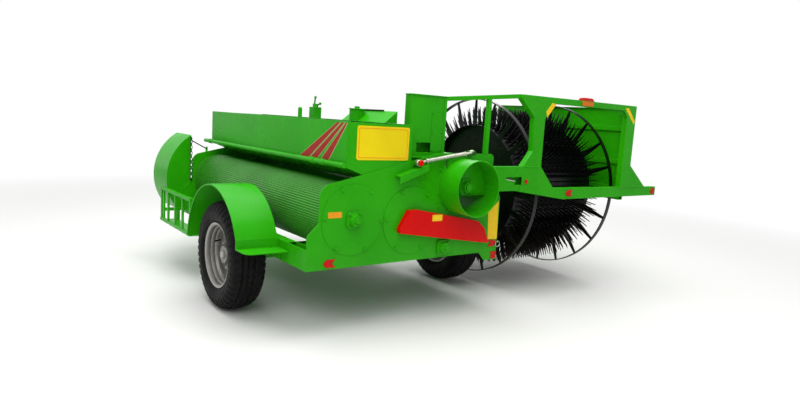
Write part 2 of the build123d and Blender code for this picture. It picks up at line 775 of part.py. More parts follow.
def right_side_sheet():
    """Side sheet on the right rail, bent in under the deck."""
    inset = PLATE
    y0, y1 = RIGHT_Y + inset, PLATE_RIGHT_TOP_Y + inset
    face = face_of(
        [
            (y0, RAIL_TOP),
            (y0, PLATE_BEND_LOW),
            (y1, PLATE_BEND_HIGH),
            (y1, DECK_Z),
            (y1 + SHEET, DECK_Z),
            (y1 + SHEET, PLATE_BEND_HIGH - SHEET / 4),
            (y0 + SHEET, PLATE_BEND_LOW - SHEET / 4),
            (y0 + SHEET, RAIL_TOP),
        ]
    )
    return carried_x(face, REAR_IN, FRONT_IN)


def elevator_column():
    """Tall folded column on the deck, closed but for its foot and a window, under a lipped lid."""
    x0, x1 = COLUMN_X, COLUMN_X + COLUMN_DEPTH
    left, right = COLUMN_LEFT, COLUMN_RIGHT
    column = block(x0, x1, right, left, DECK_TOP, COLUMN_TOP)
    column -= block(x0 + SHEET, x1 - SHEET, right + SHEET, left - SHEET, DECK_TOP - 1, COLUMN_TOP - SHEET)
    column += block(x0 - COLUMN_LIP, x1, right, left + COLUMN_LIP / 2, COLUMN_TOP - WALL, COLUMN_TOP)
    window_left = left - WINDOW_W / 2
    low = DECK_TOP + WINDOW_H * 0.4
    return column - block(
        x0 - 1, x0 + SHEET + 1, window_left - WINDOW_W, window_left, low, low + WINDOW_H
    )


def conveyor_head():
    """Roofed sheet housing on the deck beside the tank, sloping down to the left, round the filler pipe."""
    left = TANK_RIGHT - WALL
    right = left - HEAD_W
    points = [(left, DECK_TOP), (left, HEAD_TOP - HEAD_EAVE), (right, HEAD_TOP), (right, DECK_TOP)]
    head = box_section_x(points, HEAD_X0, HEAD_X1, SHEET)
    return head - rod_z(DECK_TOP - 1, HEAD_TOP + 1, FILLER_X, FILLER_Y, FILLER_R)


def filler_pipe():
    """Upright pipe through the conveyor head's roof, with a flat cap and its knob."""
    cap_low = HEAD_TOP
    cap_top = cap_low + FILLER_CAP
    pipe = rod_z(DECK_TOP, cap_low, FILLER_X, FILLER_Y, FILLER_R)
    pipe += rod_z(cap_low, cap_top, FILLER_X, FILLER_Y, FILLER_R * 1.1)
    return pipe + rod_z(cap_top, cap_top + FILLER_CAP * 2, FILLER_X, FILLER_Y, FILLER_R * 0.35)


def valve_block():
    """Hydraulic valve bank on its foot, with spool caps and two levers, and a round-headed guide finger."""
    half = VALVE_SIDE / 2
    low = DECK_TOP + VALVE_FOOT_H
    top = low + VALVE_H
    spool_top = top + SPOOL_H
    y = FILLER_Y
    valve = block(VALVE_X - half / 2, VALVE_X + half / 2, y - half / 2, y + half / 2, DECK_TOP, low)
    valve += block(VALVE_X - half, VALVE_X + half, y - half, y + half, low, top)
    for x in (VALVE_X - half * 0.5, VALVE_X + half * 0.5):
        valve += rod_z(top, spool_top, x, y, SPOOL_R)
    lever = rod_z(0, LEVER_L, 0, 0, LEVER_R) + Pos(0, 0, LEVER_L) * Sphere(LEVER_R * 1.7)
    valve += Pos(VALVE_X + half * 0.5, y, spool_top - LEVER_R) * Rot(0, -12, 0) * lever
    valve += Pos(VALVE_X - half * 0.5, y, spool_top - SPOOL_R) * Rot(0, -75, 0) * lever
    finger_top = DECK_TOP + FINGER_H
    finger = rod_z(DECK_TOP, finger_top, FINGER_X, y, FINGER_R)
    return [valve, finger + Pos(FINGER_X, y, finger_top) * Sphere(FINGER_R)]


def header_beam():
    """Rear beam of the header, with the deep knee that joins it to the rear plate."""
    knee_turn = POST_LEFT + GUSSET_LEFT
    points = [
        (BEAM_LEFT, KNEE_TOP),
        (POST_RIGHT, KNEE_TOP),
        (POST_RIGHT - POST_W * 1.5, BEAM_TOP + BEAM_FALL * 2 / 3),
        (BEAM_RIGHT, BEAM_TOP - BEAM_FALL / 3),
        (BEAM_RIGHT, BEAM_LOW),
        (POST_RIGHT - POST_W * 2.7, BEAM_LOW),
        (knee_turn, KNEE_LOW),
        (BEAM_LEFT, KNEE_LOW),
    ]
    beam = box_section_x(points, HEADER_REAR, HEADER_FRONT, WALL)
    slot_right = POST_LEFT + GUSSET_FOOT
    slot_low = KNEE_LOW + SLOT_H * 0.8
    beam -= block(
        HEADER_REAR - 1, HEADER_REAR + WALL + 1, slot_right, slot_right + SLOT_W, slot_low, slot_low + SLOT_H
    )
    seat_left = BEAM_LEFT - SEAT_W / 5
    seat_low = KNEE_LOW + WALL * 5
    return beam + block(HEADER_FRONT, REAR_X, seat_left - SEAT_W, seat_left, seat_low, seat_low + SEAT_H)


def header_post():
    """Main post of the header, with a gusset in each corner."""
    head_left, head_right = POST_LEFT + GUSSET_LEFT, POST_RIGHT - GUSSET_RIGHT
    under = POST_TOP - TOP_BEAM_H
    points = [
        (head_left, POST_TOP),
        (head_left, POST_TOP - BAR_SIDE),
        (POST_LEFT + WALL * 2, under - GUSSET_H),
        (POST_LEFT, KNEE_TOP + GUSSET_H),
        (POST_LEFT + GUSSET_FOOT, KNEE_TOP),
        (POST_RIGHT, KNEE_TOP),
        (POST_RIGHT, under - GUSSET_H),
        (head_right, under),
        (head_right, POST_TOP),
    ]
    return box_section_x(points, HEADER_REAR, HEADER_FRONT, WALL)


def header_top_beam():
    """Top beam from the main post to the side post."""
    y0, y1 = SIDE_Y + SIDE_POST_W, POST_RIGHT - GUSSET_RIGHT
    under = POST_TOP - TOP_BEAM_H
    return box_tube(HEADER_REAR, HEADER_FRONT, y0, y1, under, POST_TOP, "Y", SHEET)


def header_side_post():
    """Post at the header's right-hand corner, with a gusset at its head and one at its foot."""
    inner = SIDE_Y + SIDE_POST_W
    under = POST_TOP - TOP_BEAM_H
    # The foot follows the beam's gently falling top edge.
    fall = BEAM_FALL / (POST_RIGHT - POST_W * 1.5 - BEAM_RIGHT)
    low = BEAM_TOP - BEAM_FALL / 3
    foot = [(y, low + fall * (y - BEAM_RIGHT)) for y in (inner, SIDE_Y - SIDE_FOOT)]
    points = [(inner, POST_TOP), *foot, (SIDE_Y, BEAM_TOP + SIDE_FOOT_H), (SIDE_Y, POST_TOP)]
    post = box_section_x(points, HEADER_REAR, HEADER_FRONT, WALL)
    corner = face_of([(inner, under), (inner + SIDE_GUSSET, under), (inner, under - SIDE_GUSSET)])
    return post + carried_x(corner, HEADER_REAR, HEADER_REAR + WALL)


def header_top_bar():
    """Thin bar from the column's head to the main post, with the slim post under it."""
    half = BAR_SIDE / 2
    head_left = POST_LEFT + GUSSET_LEFT
    start = Vector(COLUMN_X + half, COLUMN_RIGHT, COLUMN_TOP - half)
    end = Vector(HEADER_FRONT - half, head_left, POST_TOP - half)
    run = end - start
    bar = bar_between(tuple(start - run * 0.1), tuple(end + run * 0.1), BAR_SIDE, BAR_SIDE)
    # Both ends are cut square to the column and to the post.
    for point, beyond in ((start, run.length), (end, -run.length)):
        bar -= block(
            point.X - run.length, point.X + run.length, point.Y, point.Y + beyond,
            point.Z - run.length, point.Z + run.length,
        )
    middle = start + run * ((MID_POST_Y - start.Y) / run.Y)
    return bar + block(
        middle.X - half, middle.X + half, MID_POST_Y - half, MID_POST_Y + half, PLATE_TOP, middle.Z
    )


def side_beam():
    """Beam along the drum's far side, under the side panel."""
    return box_tube(HEADER_FRONT, FRONT_BEAM_X, SIDE_Y, SIDE_IN, SIDE_BEAM_LOW, BEAM_TOP, "X")


def side_panel():
    """Sheet panel on the drum's far side with two pressed stiffeners and a top fold."""
    y0 = SIDE_Y + PANEL_IN
    y1 = y0 + SHEET
    top = BEAM_TOP + PANEL_H
    panel = block(HEADER_FRONT, FRONT_BEAM_X, y0, y1, BEAM_TOP, top)
    for share in (0.307, 0.736):
        z = BEAM_TOP + PANEL_H * share
        panel += block(
            HEADER_FRONT + RIB_H, FRONT_BEAM_X - RIB_H, y1, y1 + RIB_T, z - RIB_H / 2, z + RIB_H / 2
        )
    return panel + block(HEADER_FRONT, FRONT_BEAM_X, y0, y1 + PANEL_FOLD, top - SHEET, top)


def front_beam():
    """Beam ahead of the drum, with its leg on the right rail."""
    x0, x1 = FRONT_BEAM_X, FRONT_BEAM_X + FRONT_BEAM_W
    leg = RIGHT_Y - FRONT_LEG
    beam = box_tube(x0, x1, SIDE_Y, leg, SIDE_BEAM_LOW, BEAM_TOP, "Y")
    return beam + block(x0, x1, leg, RIGHT_Y, FRAME_LOW + RAIL_H / 8, BEAM_TOP)


def drum_arm():
    """Plate arm over the right wheel that carries the drum's near bearing, rising to the knee behind."""
    low, top = SIDE_BEAM_LOW, SIDE_BEAM_LOW + ARM_H
    bend = DRUM_X - BEARING_SIDE
    face = face_of(
        [
            (HEADER_FRONT, KNEE_LOW),
            (HEADER_FRONT, KNEE_LOW + ARM_H),
            (bend, top),
            (FRONT_BEAM_X, top),
            (FRONT_BEAM_X, low),
            (bend, low),
        ]
    )
    return carried_y(face, ARM_Y, ARM_Y - ARM_T)


def drum_bearings():
    """Flange bearings at the two ends of the drum's shaft."""
    bore = DRUM_SHAFT_R + RUN
    return [
        flange_bearing((DRUM_X, ARM_Y - ARM_T, DRUM_Z), (0, -1, 0), bore),
        flange_bearing((DRUM_X, SIDE_IN, DRUM_Z), (0, 1, 0), bore),
    ]


def about_drum(shape, angle):
    """Shape drawn about the Y axis, turned by an angle and put on the drum's axis."""
    return Pos(DRUM_X, 0, DRUM_Z) * Rot(0, angle, 0) * shape


def drum_body():
    """Shell and end discs of the drum, welded, with a hub round the shaft in each disc."""
    body = rod_y(HOOP_FAR, HOOP_NEAR, DRUM_X, DRUM_Z, SHELL_R)
    body -= rod_y(HOOP_FAR - 1, HOOP_NEAR + 1, DRUM_X, DRUM_Z, SHELL_R - SHELL_T)
    for y, inward in ((HOOP_NEAR, -1), (HOOP_FAR, 1)):
        disc_y = y + inward * DISC_IN
        body += rod_y(disc_y, disc_y + inward * DISC_T, DRUM_X, DRUM_Z, SHELL_R - SHELL_T / 2)
        body += rod_y(disc_y - HUB_L / 2, disc_y + HUB_L / 2, DRUM_X, DRUM_Z, DRUM_HUB_R)
    return body - rod_y(HOOP_FAR, HOOP_NEAR, DRUM_X, DRUM_Z, DRUM_SHAFT_R + RUN)


def drum_shaft():
    """Shaft of the drum, held in its two hubs and turning in its two bearings."""
    return rod_y(SIDE_IN + SHAFT_GAP, ARM_Y - ARM_T - SHAFT_GAP, DRUM_X, DRUM_Z, DRUM_SHAFT_R)


def spike_row(shift):
    """Comb of pointed spikes on a strip that lies along the drum's shell."""
    y0, y1 = HOOP_FAR + HOOP_W, HOOP_NEAR - HOOP_W
    pitch = (y1 - y0) / (SPIKES_PER_ROW + 0.5)
    root = SHELL_R + SPIKE_STRIP
    points = [(y0, SHELL_R), (y0, root)]
    for i in range(SPIKES_PER_ROW):
        y = y0 + pitch * (i + 0.5 + 0.5 * shift)
        points += [(y - SPIKE_BASE / 2, root), (y, SPIKE_R), (y + SPIKE_BASE / 2, root)]
    points += [(y1, root), (y1, SHELL_R)]
    return carried_x(face_of(points), -SPIKE_T / 2, SPIKE_T / 2)


def drum_spikes():
    """All spike rows, set round the shell, every other row half a pitch along."""
    rows = [spike_row(0), spike_row(1)]
    return [about_drum(rows[i % 2], 360 / SPIKE_ROWS * i) for i in range(SPIKE_ROWS)]


def drum_hoops():
    """The two guard hoops, each on a ring of tapered flat spokes."""
    hoops = []
    for y, inward in ((HOOP_NEAR, -1), (HOOP_FAR, 1)):
        band0, band1 = y + HOOP_W / 2, y - HOOP_W / 2
        hoop = rod_y(band1, band0, DRUM_X, DRUM_Z, HOOP_R)
        hoop -= rod_y(band1 - 1, band0 + 1, DRUM_X, DRUM_Z, HOOP_R - HOOP_T)
        spoke_face = face_of(
            [
                (-SPOKE_BASE / 2, SHELL_R - SHELL_T),
                (SPOKE_BASE / 2, SHELL_R - SHELL_T),
                (SPOKE_TIP / 2, HOOP_R - HOOP_T / 2),
                (-SPOKE_TIP / 2, HOOP_R - HOOP_T / 2),
            ]
        )
        outer = y if inward < 0 else y - DISC_T
        spoke = carried_y(spoke_face, outer + DISC_T, outer)
        for i in range(SPOKES):
            hoop += about_drum(spoke, 360 / SPOKES * i)
        hoops.append(hoop)
    return hoops


def tyre(side):
    """Tyre: casing with sloping shoulders and sidewalls, turned about the wheel's axis."""
    half = TYRE_W / 2
    bead, bulge = RIM_R + RUN, RIM_R + (TYRE_R - RIM_R) * 0.55
    crown = half * 0.78
    section = face_of(
        [
            (bead, -half + RIM_IN),
            (bulge, -half),
            (TYRE_R, -crown),
            (TYRE_R, crown),
            (bulge, half),
            (bead, half - RIM_IN),
        ]
    )
    return Pos(0, side * HALF_TRACK, AXLE_Z) * revolve(section, Axis.Y)


def rim(side):
    """Deep-dished rim with lips, drop centre, disc and hub, its dish to the outside."""
    half = TYRE_W / 2 - RIM_IN
    lip = half + RIM_LIP + SHEET
    well = RIM_R * 0.9
    bore = SPINDLE_R + RUN
    face = face_of(
        [
            (RIM_R, -half),
            (RIM_R + RIM_LIP, -lip + SHEET),
            (RIM_R + RIM_LIP, -lip),
            (RIM_R - PLATE, -lip),
            (well - PLATE, half * 0.1),
            (HUB_R, -half * 0.1),
            (HUB_R, -half * 0.5),
            (bore, -half * 0.5),
            (bore, half * 0.6),
            (HUB_R, half * 0.6),
            (HUB_R, half * 0.02),
            (well - PLATE, half * 0.22),
            (RIM_R - PLATE, lip),
            (RIM_R + RIM_LIP, lip),
            (RIM_R + RIM_LIP, lip - SHEET),
            (RIM_R, half),
            (well + SHEET, 0),
        ]
    )
    ring = revolve(face, Axis.Y)
    if side < 0:
        ring = mirror(ring, about=Plane.XZ)
    return Pos(0, side * HALF_TRACK, AXLE_Z) * ring


def mudguard():
    """Arched mudguard over the left wheel, with its skirt, the step at its foot and its front stay."""
    y0, y1 = GUARD_IN, GUARD_IN + GUARD_W
    arch = rod_y(y0, y1, 0, AXLE_Z, GUARD_R + GUARD_T) - rod_y(y0 - 1, y1 + 1, 0, AXLE_Z, GUARD_R)
    reach = 3 * GUARD_R
    front = (reach * cos(radians(GUARD_FRONT)), reach * sin(radians(GUARD_FRONT)))
    rear = (reach * cos(radians(GUARD_REAR)), reach * sin(radians(GUARD_REAR)))
    keep = face_of([(0, 0), front, (front[0], reach), (rear[0], reach), rear])
    arch &= Pos(0, 0, AXLE_Z) * carried_y(keep, y1, y0)
    r = GUARD_R + GUARD_T / 2
    rear_x, rear_z = r * cos(radians(GUARD_REAR)), AXLE_Z + r * sin(radians(GUARD_REAR))
    front_x, front_z = r * cos(radians(GUARD_FRONT)), AXLE_Z + r * sin(radians(GUARD_FRONT))
    skirt_in = rear_x + GUARD_T * 0.6
    arch += block(rear_x - GUARD_T, skirt_in, LEFT_Y, y1, STEP_Z - GUARD_T, rear_z + GUARD_T)
    far = rear_x - STEP_DEPTH
    step = face_of([(skirt_in, LEFT_Y), (skirt_in, y1), (far, y1), (far, LEFT_Y)])
    arch += carried_z(rounded(step, [(far, y1, STEP_ROUND)]), STEP_Z - GUARD_T, STEP_Z)
    stay = block(
        front_x - GUARD_T / 2, front_x + GUARD_T / 2, LEFT_Y, y1, front_z - STAY_H / 2, front_z + STAY_H / 2
    )
    return arch + stay


def hood():
    """Round hood over the front-left drive: a cylinder cut off by an upright chord."""
    x0, x1 = FRONT_X, FRONT_X + HOOD_L
    keep = block(x0, x1, HOOD_CHORD, SIEVE_Y + HOOD_R, HOOD_LOW, SIEVE_Z + HOOD_R)
    shell = rod_x(x0, x1, SIEVE_Y, SIEVE_Z, HOOD_R)
    shell -= rod_x(x0 + SHEET, x1 - SHEET, SIEVE_Y, SIEVE_Z, HOOD_R - SHEET)
    return shell & keep


def side_basket():
    """Barred side basket ahead of the left wheel, on arms from the rail."""
    bar, thin = BASKET_BAR, BASKET_BAR * 0.2
    y0, y1 = BASKET_Y - bar / 2, BASKET_Y + bar / 2
    floor_in = LEFT_Y + BASKET_FLOOR_IN
    arm_low = FRAME_LOW + BASKET_ARM_UP
    arm_x = FRONT_IN - bar
    cage = block(BASKET_X0, BASKET_X1, y0, y1, BASKET_TOP - bar, BASKET_TOP)
    cage += block(BASKET_X0, BASKET_X1, y0, y1, BASKET_LOW, BASKET_LOW + bar)
    cage += block(BASKET_X0, BASKET_X1, floor_in, y1, BASKET_LOW, BASKET_LOW + SHEET)
    step = (BASKET_X1 - BASKET_X0 - bar) / (BASKET_BARS - 1)
    for x in [arm_x] + [BASKET_X0 + step * i for i in range(BASKET_BARS)]:
        cage += block(x, x + bar, y0 + thin, y1 - thin, BASKET_LOW, BASKET_TOP)
    for x in (BASKET_X0, arm_x):
        cage += block(x, x + bar, LEFT_Y, BASKET_Y, arm_low, arm_low + bar)
        cage += block(x, x + bar, floor_in, floor_in + bar, BASKET_LOW, arm_low + bar)
    return cage


def drawbar():
    """Box beam to the hitch, braced to both sides of the front plate."""
    half = DRAW_SIDE / 2
    z0, z1 = FRAME_LOW, FRAME_LOW + DRAW_SIDE
    bar = box_tube(FRONT_X, DRAW_END, DRAW_Y - half, DRAW_Y + half, z0, z1, "X", DRAW_WALL)
    middle = (z0 + z1) / 2
    meet = FRONT_X + BRACE_SHARE * DRAW_L
    inside = half - DRAW_WALL / 2
    for y in (LEFT_Y - RAIL_W * 1.5, RIGHT_Y + RAIL_W * 1.5):
        brace = bar_between((FRONT_X - BRACE_H, y, middle), (meet, DRAW_Y, middle), BRACE_W, BRACE_H)
        # Its ends are cut off at the plate and inside the beam's wall.
        brace -= block(FRONT_X - DRAW_L, FRONT_X, y - DRAW_L, y + DRAW_L, z0, z1)
        brace -= block(FRONT_X, DRAW_END, DRAW_Y - inside, DRAW_Y + inside, z0, z1)
        bar += brace
    return bar


def hitch_eye():
    """Forged towing eye bolted to the end of the drawbar."""
    half = DRAW_SIDE / 2
    z = FRAME_LOW + half
    z0, z1 = z - EYE_H / 2, z + EYE_H / 2
    eye = block(DRAW_END, DRAW_END + EYE_FLANGE, DRAW_Y - half, DRAW_Y + half, z - half, z + half)
    eye += block(DRAW_END + EYE_FLANGE / 2, EYE_X, DRAW_Y - EYE_RING, DRAW_Y + EYE_RING, z0, z1)
    eye += rod_z(z0, z1, EYE_X, DRAW_Y, EYE_R + EYE_RING)
    return eye - rod_z(z0 - 1, z1 + 1, EYE_X, DRAW_Y, EYE_R)


def gearbox():
    """Drive gearbox on the front plate, with the collar of its input."""
    half = GEARBOX_SIDE / 2
    z = GEARBOX_Z
    body = block(FRONT_X, FRONT_X + GEARBOX_L, DRAW_Y - half, DRAW_Y + half, z - half, z + half)
    body = fillet(body.edges().filter_by(Axis.X), GEARBOX_ROUND)
    return body + rod_x(FRONT_X + GEARBOX_L, PTO_X, DRAW_Y, z, COLLAR_R)


def pto_stub():
    """Drive input shaft that a tractor's drive shaft slides on to."""
    return rod_x(PTO_X, PTO_X + PTO_L, DRAW_Y, GEARBOX_Z, PTO_R)


def jack_body():
    """Outer tube of the parking jack on its bracket, with the crank on top."""
    half = JACK_SIDE / 2
    inner = half - JACK_WALL
    body = block(JACK_X - half, JACK_X + half, JACK_Y - half, JACK_Y + half, JACK_LOW, JACK_TOP)
    body -= block(
        JACK_X - inner, JACK_X + inner, JACK_Y - inner, JACK_Y + inner,
        JACK_LOW - 1, JACK_TOP - JACK_WALL,
    )
    bracket_in = DRAW_Y + DRAW_SIDE / 2
    bracket = JACK_SIDE * 0.75
    z0, z1 = FRAME_LOW + PLATE, FRAME_LOW + DRAW_SIDE - PLATE
    body += block(JACK_X - bracket, JACK_X + bracket, bracket_in, JACK_Y - half, z0, z1)
    crank_z = JACK_TOP + CRANK_UP
    body += rod_z(JACK_TOP, crank_z, JACK_X, JACK_Y, CRANK_R * 1.6)
    body += rod_x(JACK_X, JACK_X + CRANK_L, JACK_Y, crank_z, CRANK_R)
    return body + rod_z(crank_z - CRANK_R / 2, crank_z + GRIP_L, JACK_X + CRANK_L, JACK_Y, GRIP_R)


def jack_leg():
    """Inner leg of the jack with its foot plate on the ground."""
    half = JACK_SIDE / 2 - JACK_WALL - JACK_SLIDE
    inner = half - LEG_WALL
    leg = block(JACK_X - half, JACK_X + half, JACK_Y - half, JACK_Y + half, FOOT_T / 2, LEG_TOP)
    leg -= block(JACK_X - inner, JACK_X + inner, JACK_Y - inner, JACK_Y + inner, FOOT_T, LEG_TOP + 1)
    side = FOOT_SIDE / 2
    return leg + block(JACK_X - side, JACK_X + side, JACK_Y - side, JACK_Y + side, 0, FOOT_T)


def arrow(tip_y, z, outwards):
    """Notched arrow in (Y, Z): its tip at tip_y, pointing to the left where outwards is 1."""
    back, notch, half = tip_y - outwards * ARROW_L, tip_y - outwards * ARROW_L * 0.7, ARROW_H / 2
    shoulder = tip_y - outwards * half
    upper = [(tip_y, z), (shoulder, z + half), (back, z + half)]
    return face_of(upper + [(notch, z), (back, z - half), (shoulder, z - half)])


def reflectors():
    """Red arrows, squares and round caps on the rear plate and the header."""
    side = REFLECTOR_SIDE / 2
    plate_x, header_x = REAR_X - REFLECTOR_T, HEADER_REAR - REFLECTOR_T
    square_y, end_y = RIGHT_Y + side * 1.1, BEAM_RIGHT + side * 1.8
    square_z, end_z = FRAME_LOW - side, BEAM_LOW + BEAM_H * 0.47
    cap_y, cap_z = POST_LEFT + GUSSET_FOOT / 2, KNEE_LOW + SLOT_H * 1.2
    return [
        carried_x(arrow(LEFT_Y - RAIL_W * 1.7, FRAME_LOW + ARROW_H * 0.76, 1), plate_x, REAR_X),
        carried_x(arrow(RIGHT_Y + RAIL_OUT, FRAME_LOW + ARROW_H * 1.3, -1), plate_x, REAR_X),
        block(plate_x, REAR_X, square_y - side, square_y + side, square_z - side, square_z + side),
        carried_x(arrow(POST_RIGHT - POST_W * 2.9, BEAM_LOW + BEAM_H * 0.58, 1), header_x, HEADER_REAR),
        block(header_x, HEADER_REAR, end_y - side, end_y + side, end_z - side, end_z + side),
        rod_x(header_x, HEADER_REAR, cap_y, cap_z, CAP_R),
    ]


def sign_plate():
    """Blank yellow plate on the tank's rear wall."""
    right, left = TANK_RIGHT + SIGN_RIGHT, TANK_LEFT - SIGN_LEFT
    return block(REAR_IN - SIGN_T, REAR_IN, right, left, plate_top_at(right) + SIGN_LOW, TANK_TOP - SIGN_TOP)


def beacon():
    """Marker lamp on the header's top beam, with a strip of lens on the beam's rear face."""
    x = (HEADER_REAR + HEADER_FRONT) / 2
    half, strip = LAMP_W / 2, LAMP_Y + LAMP_L / 2
    low = POST_TOP - TOP_BEAM_H / 2 - STRIP_H / 2
    return [
        block(x - half, x + half, LAMP_Y - LAMP_L / 2, LAMP_Y + LAMP_L / 2, POST_TOP, POST_TOP + LAMP_H),
        block(HEADER_REAR - STRIP_T, HEADER_REAR, strip - STRIP_L, strip, low, low + STRIP_H),
    ]


NODES = {
    "main_frame": main_frame,
    "axle_beam": axle_beam,
    "rear_plate": rear_plate,
    "front_plate": front_plate,
    "sieve_screen": sieve_screen,
    "crusher_housing": crusher_housing,
    "drum_covers": drum_covers,
    "rear_bearings": rear_bearings,
    "discharge_tube": discharge_tube,
    "tube_end_plate": tube_end_plate,
    "feed_trough": feed_trough,
    "feed_auger": feed_auger,
    "belt_guard": belt_guard,
    "top_link": top_link,
    "plate_bracket": plate_bracket,
    "tank_left": tank_left,
    "tank_right": tank_right,
    "tank_ends": tank_ends,
    "tank_floor": tank_floor,
    "tank_pipe": tank_pipe,
    "top_deck": top_deck,
    "right_side_sheet": right_side_sheet,
    "elevator_column": elevator_column,
    "conveyor_head": conveyor_head,
    "filler_pipe": filler_pipe,
    "valve_block": valve_block,
    "header_beam": header_beam,
    "header_post": header_post,
    "header_top_beam": header_top_beam,
    "header_side_post": header_side_post,
    "header_top_bar": header_top_bar,
    "side_beam": side_beam,
    "side_panel": side_panel,
    "front_beam": front_beam,
    "drum_arm": drum_arm,
    "drum_bearings": drum_bearings,
    "drum_body": drum_body,
    "drum_shaft": drum_shaft,
    "drum_spikes": drum_spikes,
    "drum_hoops": drum_hoops,
    "tyre_left": lambda: tyre(1),
    "rim_left": lambda: rim(1),
    "tyre_right": lambda: tyre(-1),
    "rim_right": lambda: rim(-1),
    "mudguard": mudguard,
    "hood": hood,
    "side_basket": side_basket,
    "drawbar": drawbar,
    "hitch_eye": hitch_eye,
    "gearbox": gearbox,
    "pto_stub": pto_stub,
    "jack_body": jack_body,
    "jack_leg": jack_leg,
    "reflectors": reflectors,
    "sign_plate": sign_plate,
    "beacon": beacon,
}

os.makedirs("parts", exist_ok=True)
for node, make in NODES.items():
    made = make()
    pieces = made if isinstance(made, list) else [made]
    moved = [Pos(-ORIGIN) * piece for piece in pieces]
    shape = moved[0] if len(moved) == 1 else Compound(children=moved)
    export_step(shape, f"parts/{node}.step")
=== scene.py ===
import json
from math import radians

import bmesh
import bpy
import numpy as np
from mathutils import Matrix, Vector

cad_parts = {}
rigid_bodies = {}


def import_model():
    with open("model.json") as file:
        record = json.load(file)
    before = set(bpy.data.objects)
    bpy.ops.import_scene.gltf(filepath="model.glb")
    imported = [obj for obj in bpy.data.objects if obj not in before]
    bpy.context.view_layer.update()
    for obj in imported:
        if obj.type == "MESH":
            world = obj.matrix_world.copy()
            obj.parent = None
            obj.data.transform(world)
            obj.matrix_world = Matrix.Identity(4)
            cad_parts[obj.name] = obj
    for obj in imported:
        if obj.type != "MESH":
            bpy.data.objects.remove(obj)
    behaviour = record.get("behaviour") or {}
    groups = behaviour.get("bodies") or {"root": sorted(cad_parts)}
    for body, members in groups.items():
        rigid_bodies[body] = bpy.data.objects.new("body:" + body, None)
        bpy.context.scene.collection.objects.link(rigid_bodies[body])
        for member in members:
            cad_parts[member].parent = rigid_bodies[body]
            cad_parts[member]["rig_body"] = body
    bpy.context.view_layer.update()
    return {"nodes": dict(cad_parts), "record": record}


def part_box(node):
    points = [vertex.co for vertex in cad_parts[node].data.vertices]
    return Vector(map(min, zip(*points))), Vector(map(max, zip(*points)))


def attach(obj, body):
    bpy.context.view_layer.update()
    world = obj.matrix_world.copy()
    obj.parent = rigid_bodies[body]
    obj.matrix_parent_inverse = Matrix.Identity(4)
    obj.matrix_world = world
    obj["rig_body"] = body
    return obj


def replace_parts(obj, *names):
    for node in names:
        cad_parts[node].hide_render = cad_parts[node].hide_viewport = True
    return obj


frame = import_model()

# Towed pumpkin-seed harvester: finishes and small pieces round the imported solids.
# Metres, X forward, Y to the left, Z up. Places are taken from the solids' own boxes, or are
# measured from the point on the ground midway between the wheels.

MM = 0.001
METRE_MM = 1000.0
AXES = np.eye(3)
BACK = -AXES[0]


def span(node):
    """Lowest and highest corner of a solid."""
    low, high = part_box(node)
    return np.array(low), np.array(high)


def middle(node):
    """Middle of a solid's box."""
    return sum(span(node)) / 2


# Point midway between the wheels, and its share in a (Y, Z) place on a face across X
AXLE = (middle("tyre_left") + middle("tyre_right")) / 2 * (1, 1, 0)
FROM_AXLE = (AXLE[1], 0)
REAR_FACE = span("discharge_tube")[1][0]
COVER_FACE = span("drum_covers")[0][0]
HEADER_FACE = span("header_beam")[0][0]
HEADER_MIDDLE = middle("header_top_beam")[0]
TANK_SIDE = span("tank_left")[1][1]


# Shapes: points and faces as arrays


def skin(grid, wrap_u=False, wrap_v=False):
    """Quads over a grid of points; a wrapped direction joins its last row to its first."""
    rows, columns = grid.shape[:2]
    index = np.arange(rows * columns).reshape(rows, columns)
    if wrap_u:
        index = np.concatenate([index, index[:1]], axis=0)
    if wrap_v:
        index = np.concatenate([index, index[:, :1]], axis=1)
    corners = (index[:-1, :-1], index[1:, :-1], index[1:, 1:], index[:-1, 1:])
    return grid.reshape(-1, 3), [np.stack(corners, axis=-1).reshape(-1, 4)]


def joined(shapes):
    """Several shapes in one: their points in a row and their faces renumbered."""
    counts = np.cumsum([0] + [len(points) for points, _ in shapes])
    points = np.concatenate([points for points, _ in shapes])
    faces = [block + base for (_, blocks), base in zip(shapes, counts) for block in blocks]
    return points, faces


def copies(shape, places):
    """One shape set down at each of many places."""
    points, blocks = shape
    places = np.asarray(places, float)
    moved = (places[:, None, :] + points[None]).reshape(-1, 3)
    bases = np.arange(len(places))[:, None, None] * len(points)
    return moved, [(block[None] + bases).reshape(-1, block.shape[1]) for block in blocks]


def turned(shape, matrix):
    """A shape turned by a 3 by 3 matrix."""
    points, faces = shape
    return points @ np.asarray(matrix, float).T, faces


def full_turn(count, first=0.0):
    """Angles of a full turn in equal steps, from a first one in degrees, with the end left out."""
    return radians(first) + np.linspace(0, 2 * np.pi, count, endpoint=False)


def arc(turn, axis):
    """Unit circle across X or Y: (0, cos t, sin t) or (cos t, 0, sin t)."""
    return np.insert(np.stack([np.cos(turn), np.sin(turn)], axis=-1), axis, 0, axis=-1)


def ramp(over, width):
    """Rise from 0 to 1 while a measure goes from nothing to a width."""
    return np.clip(over / width, 0, 1)


def lathe(profile, centre, axis, count, closed=False):
    """Profile of (along, radius) turned about an axis: point = centre + along a + radius (u cos t
    + v sin t). A closed profile gives a ring with no ends."""
    along, radius = np.asarray(profile, float).T[:, :, None, None]
    turn = full_turn(count)[None, :, None]
    a, u, v = np.roll(AXES, -axis, axis=0)
    grid = np.asarray(centre) + along * a + radius * (np.cos(turn) * u + np.sin(turn) * v)
    return skin(grid, wrap_u=closed, wrap_v=True)


def round_x(along, radius, turn, centre):
    """Grid of points round a line along X: (along, centre + radius cos t, centre + radius sin t)."""
    full = 0 * along + 0 * turn
    across, up = radius * np.cos(turn) + full, radius * np.sin(turn) + full
    return np.stack([along + full, centre[1] + across, centre[2] + up], axis=-1)


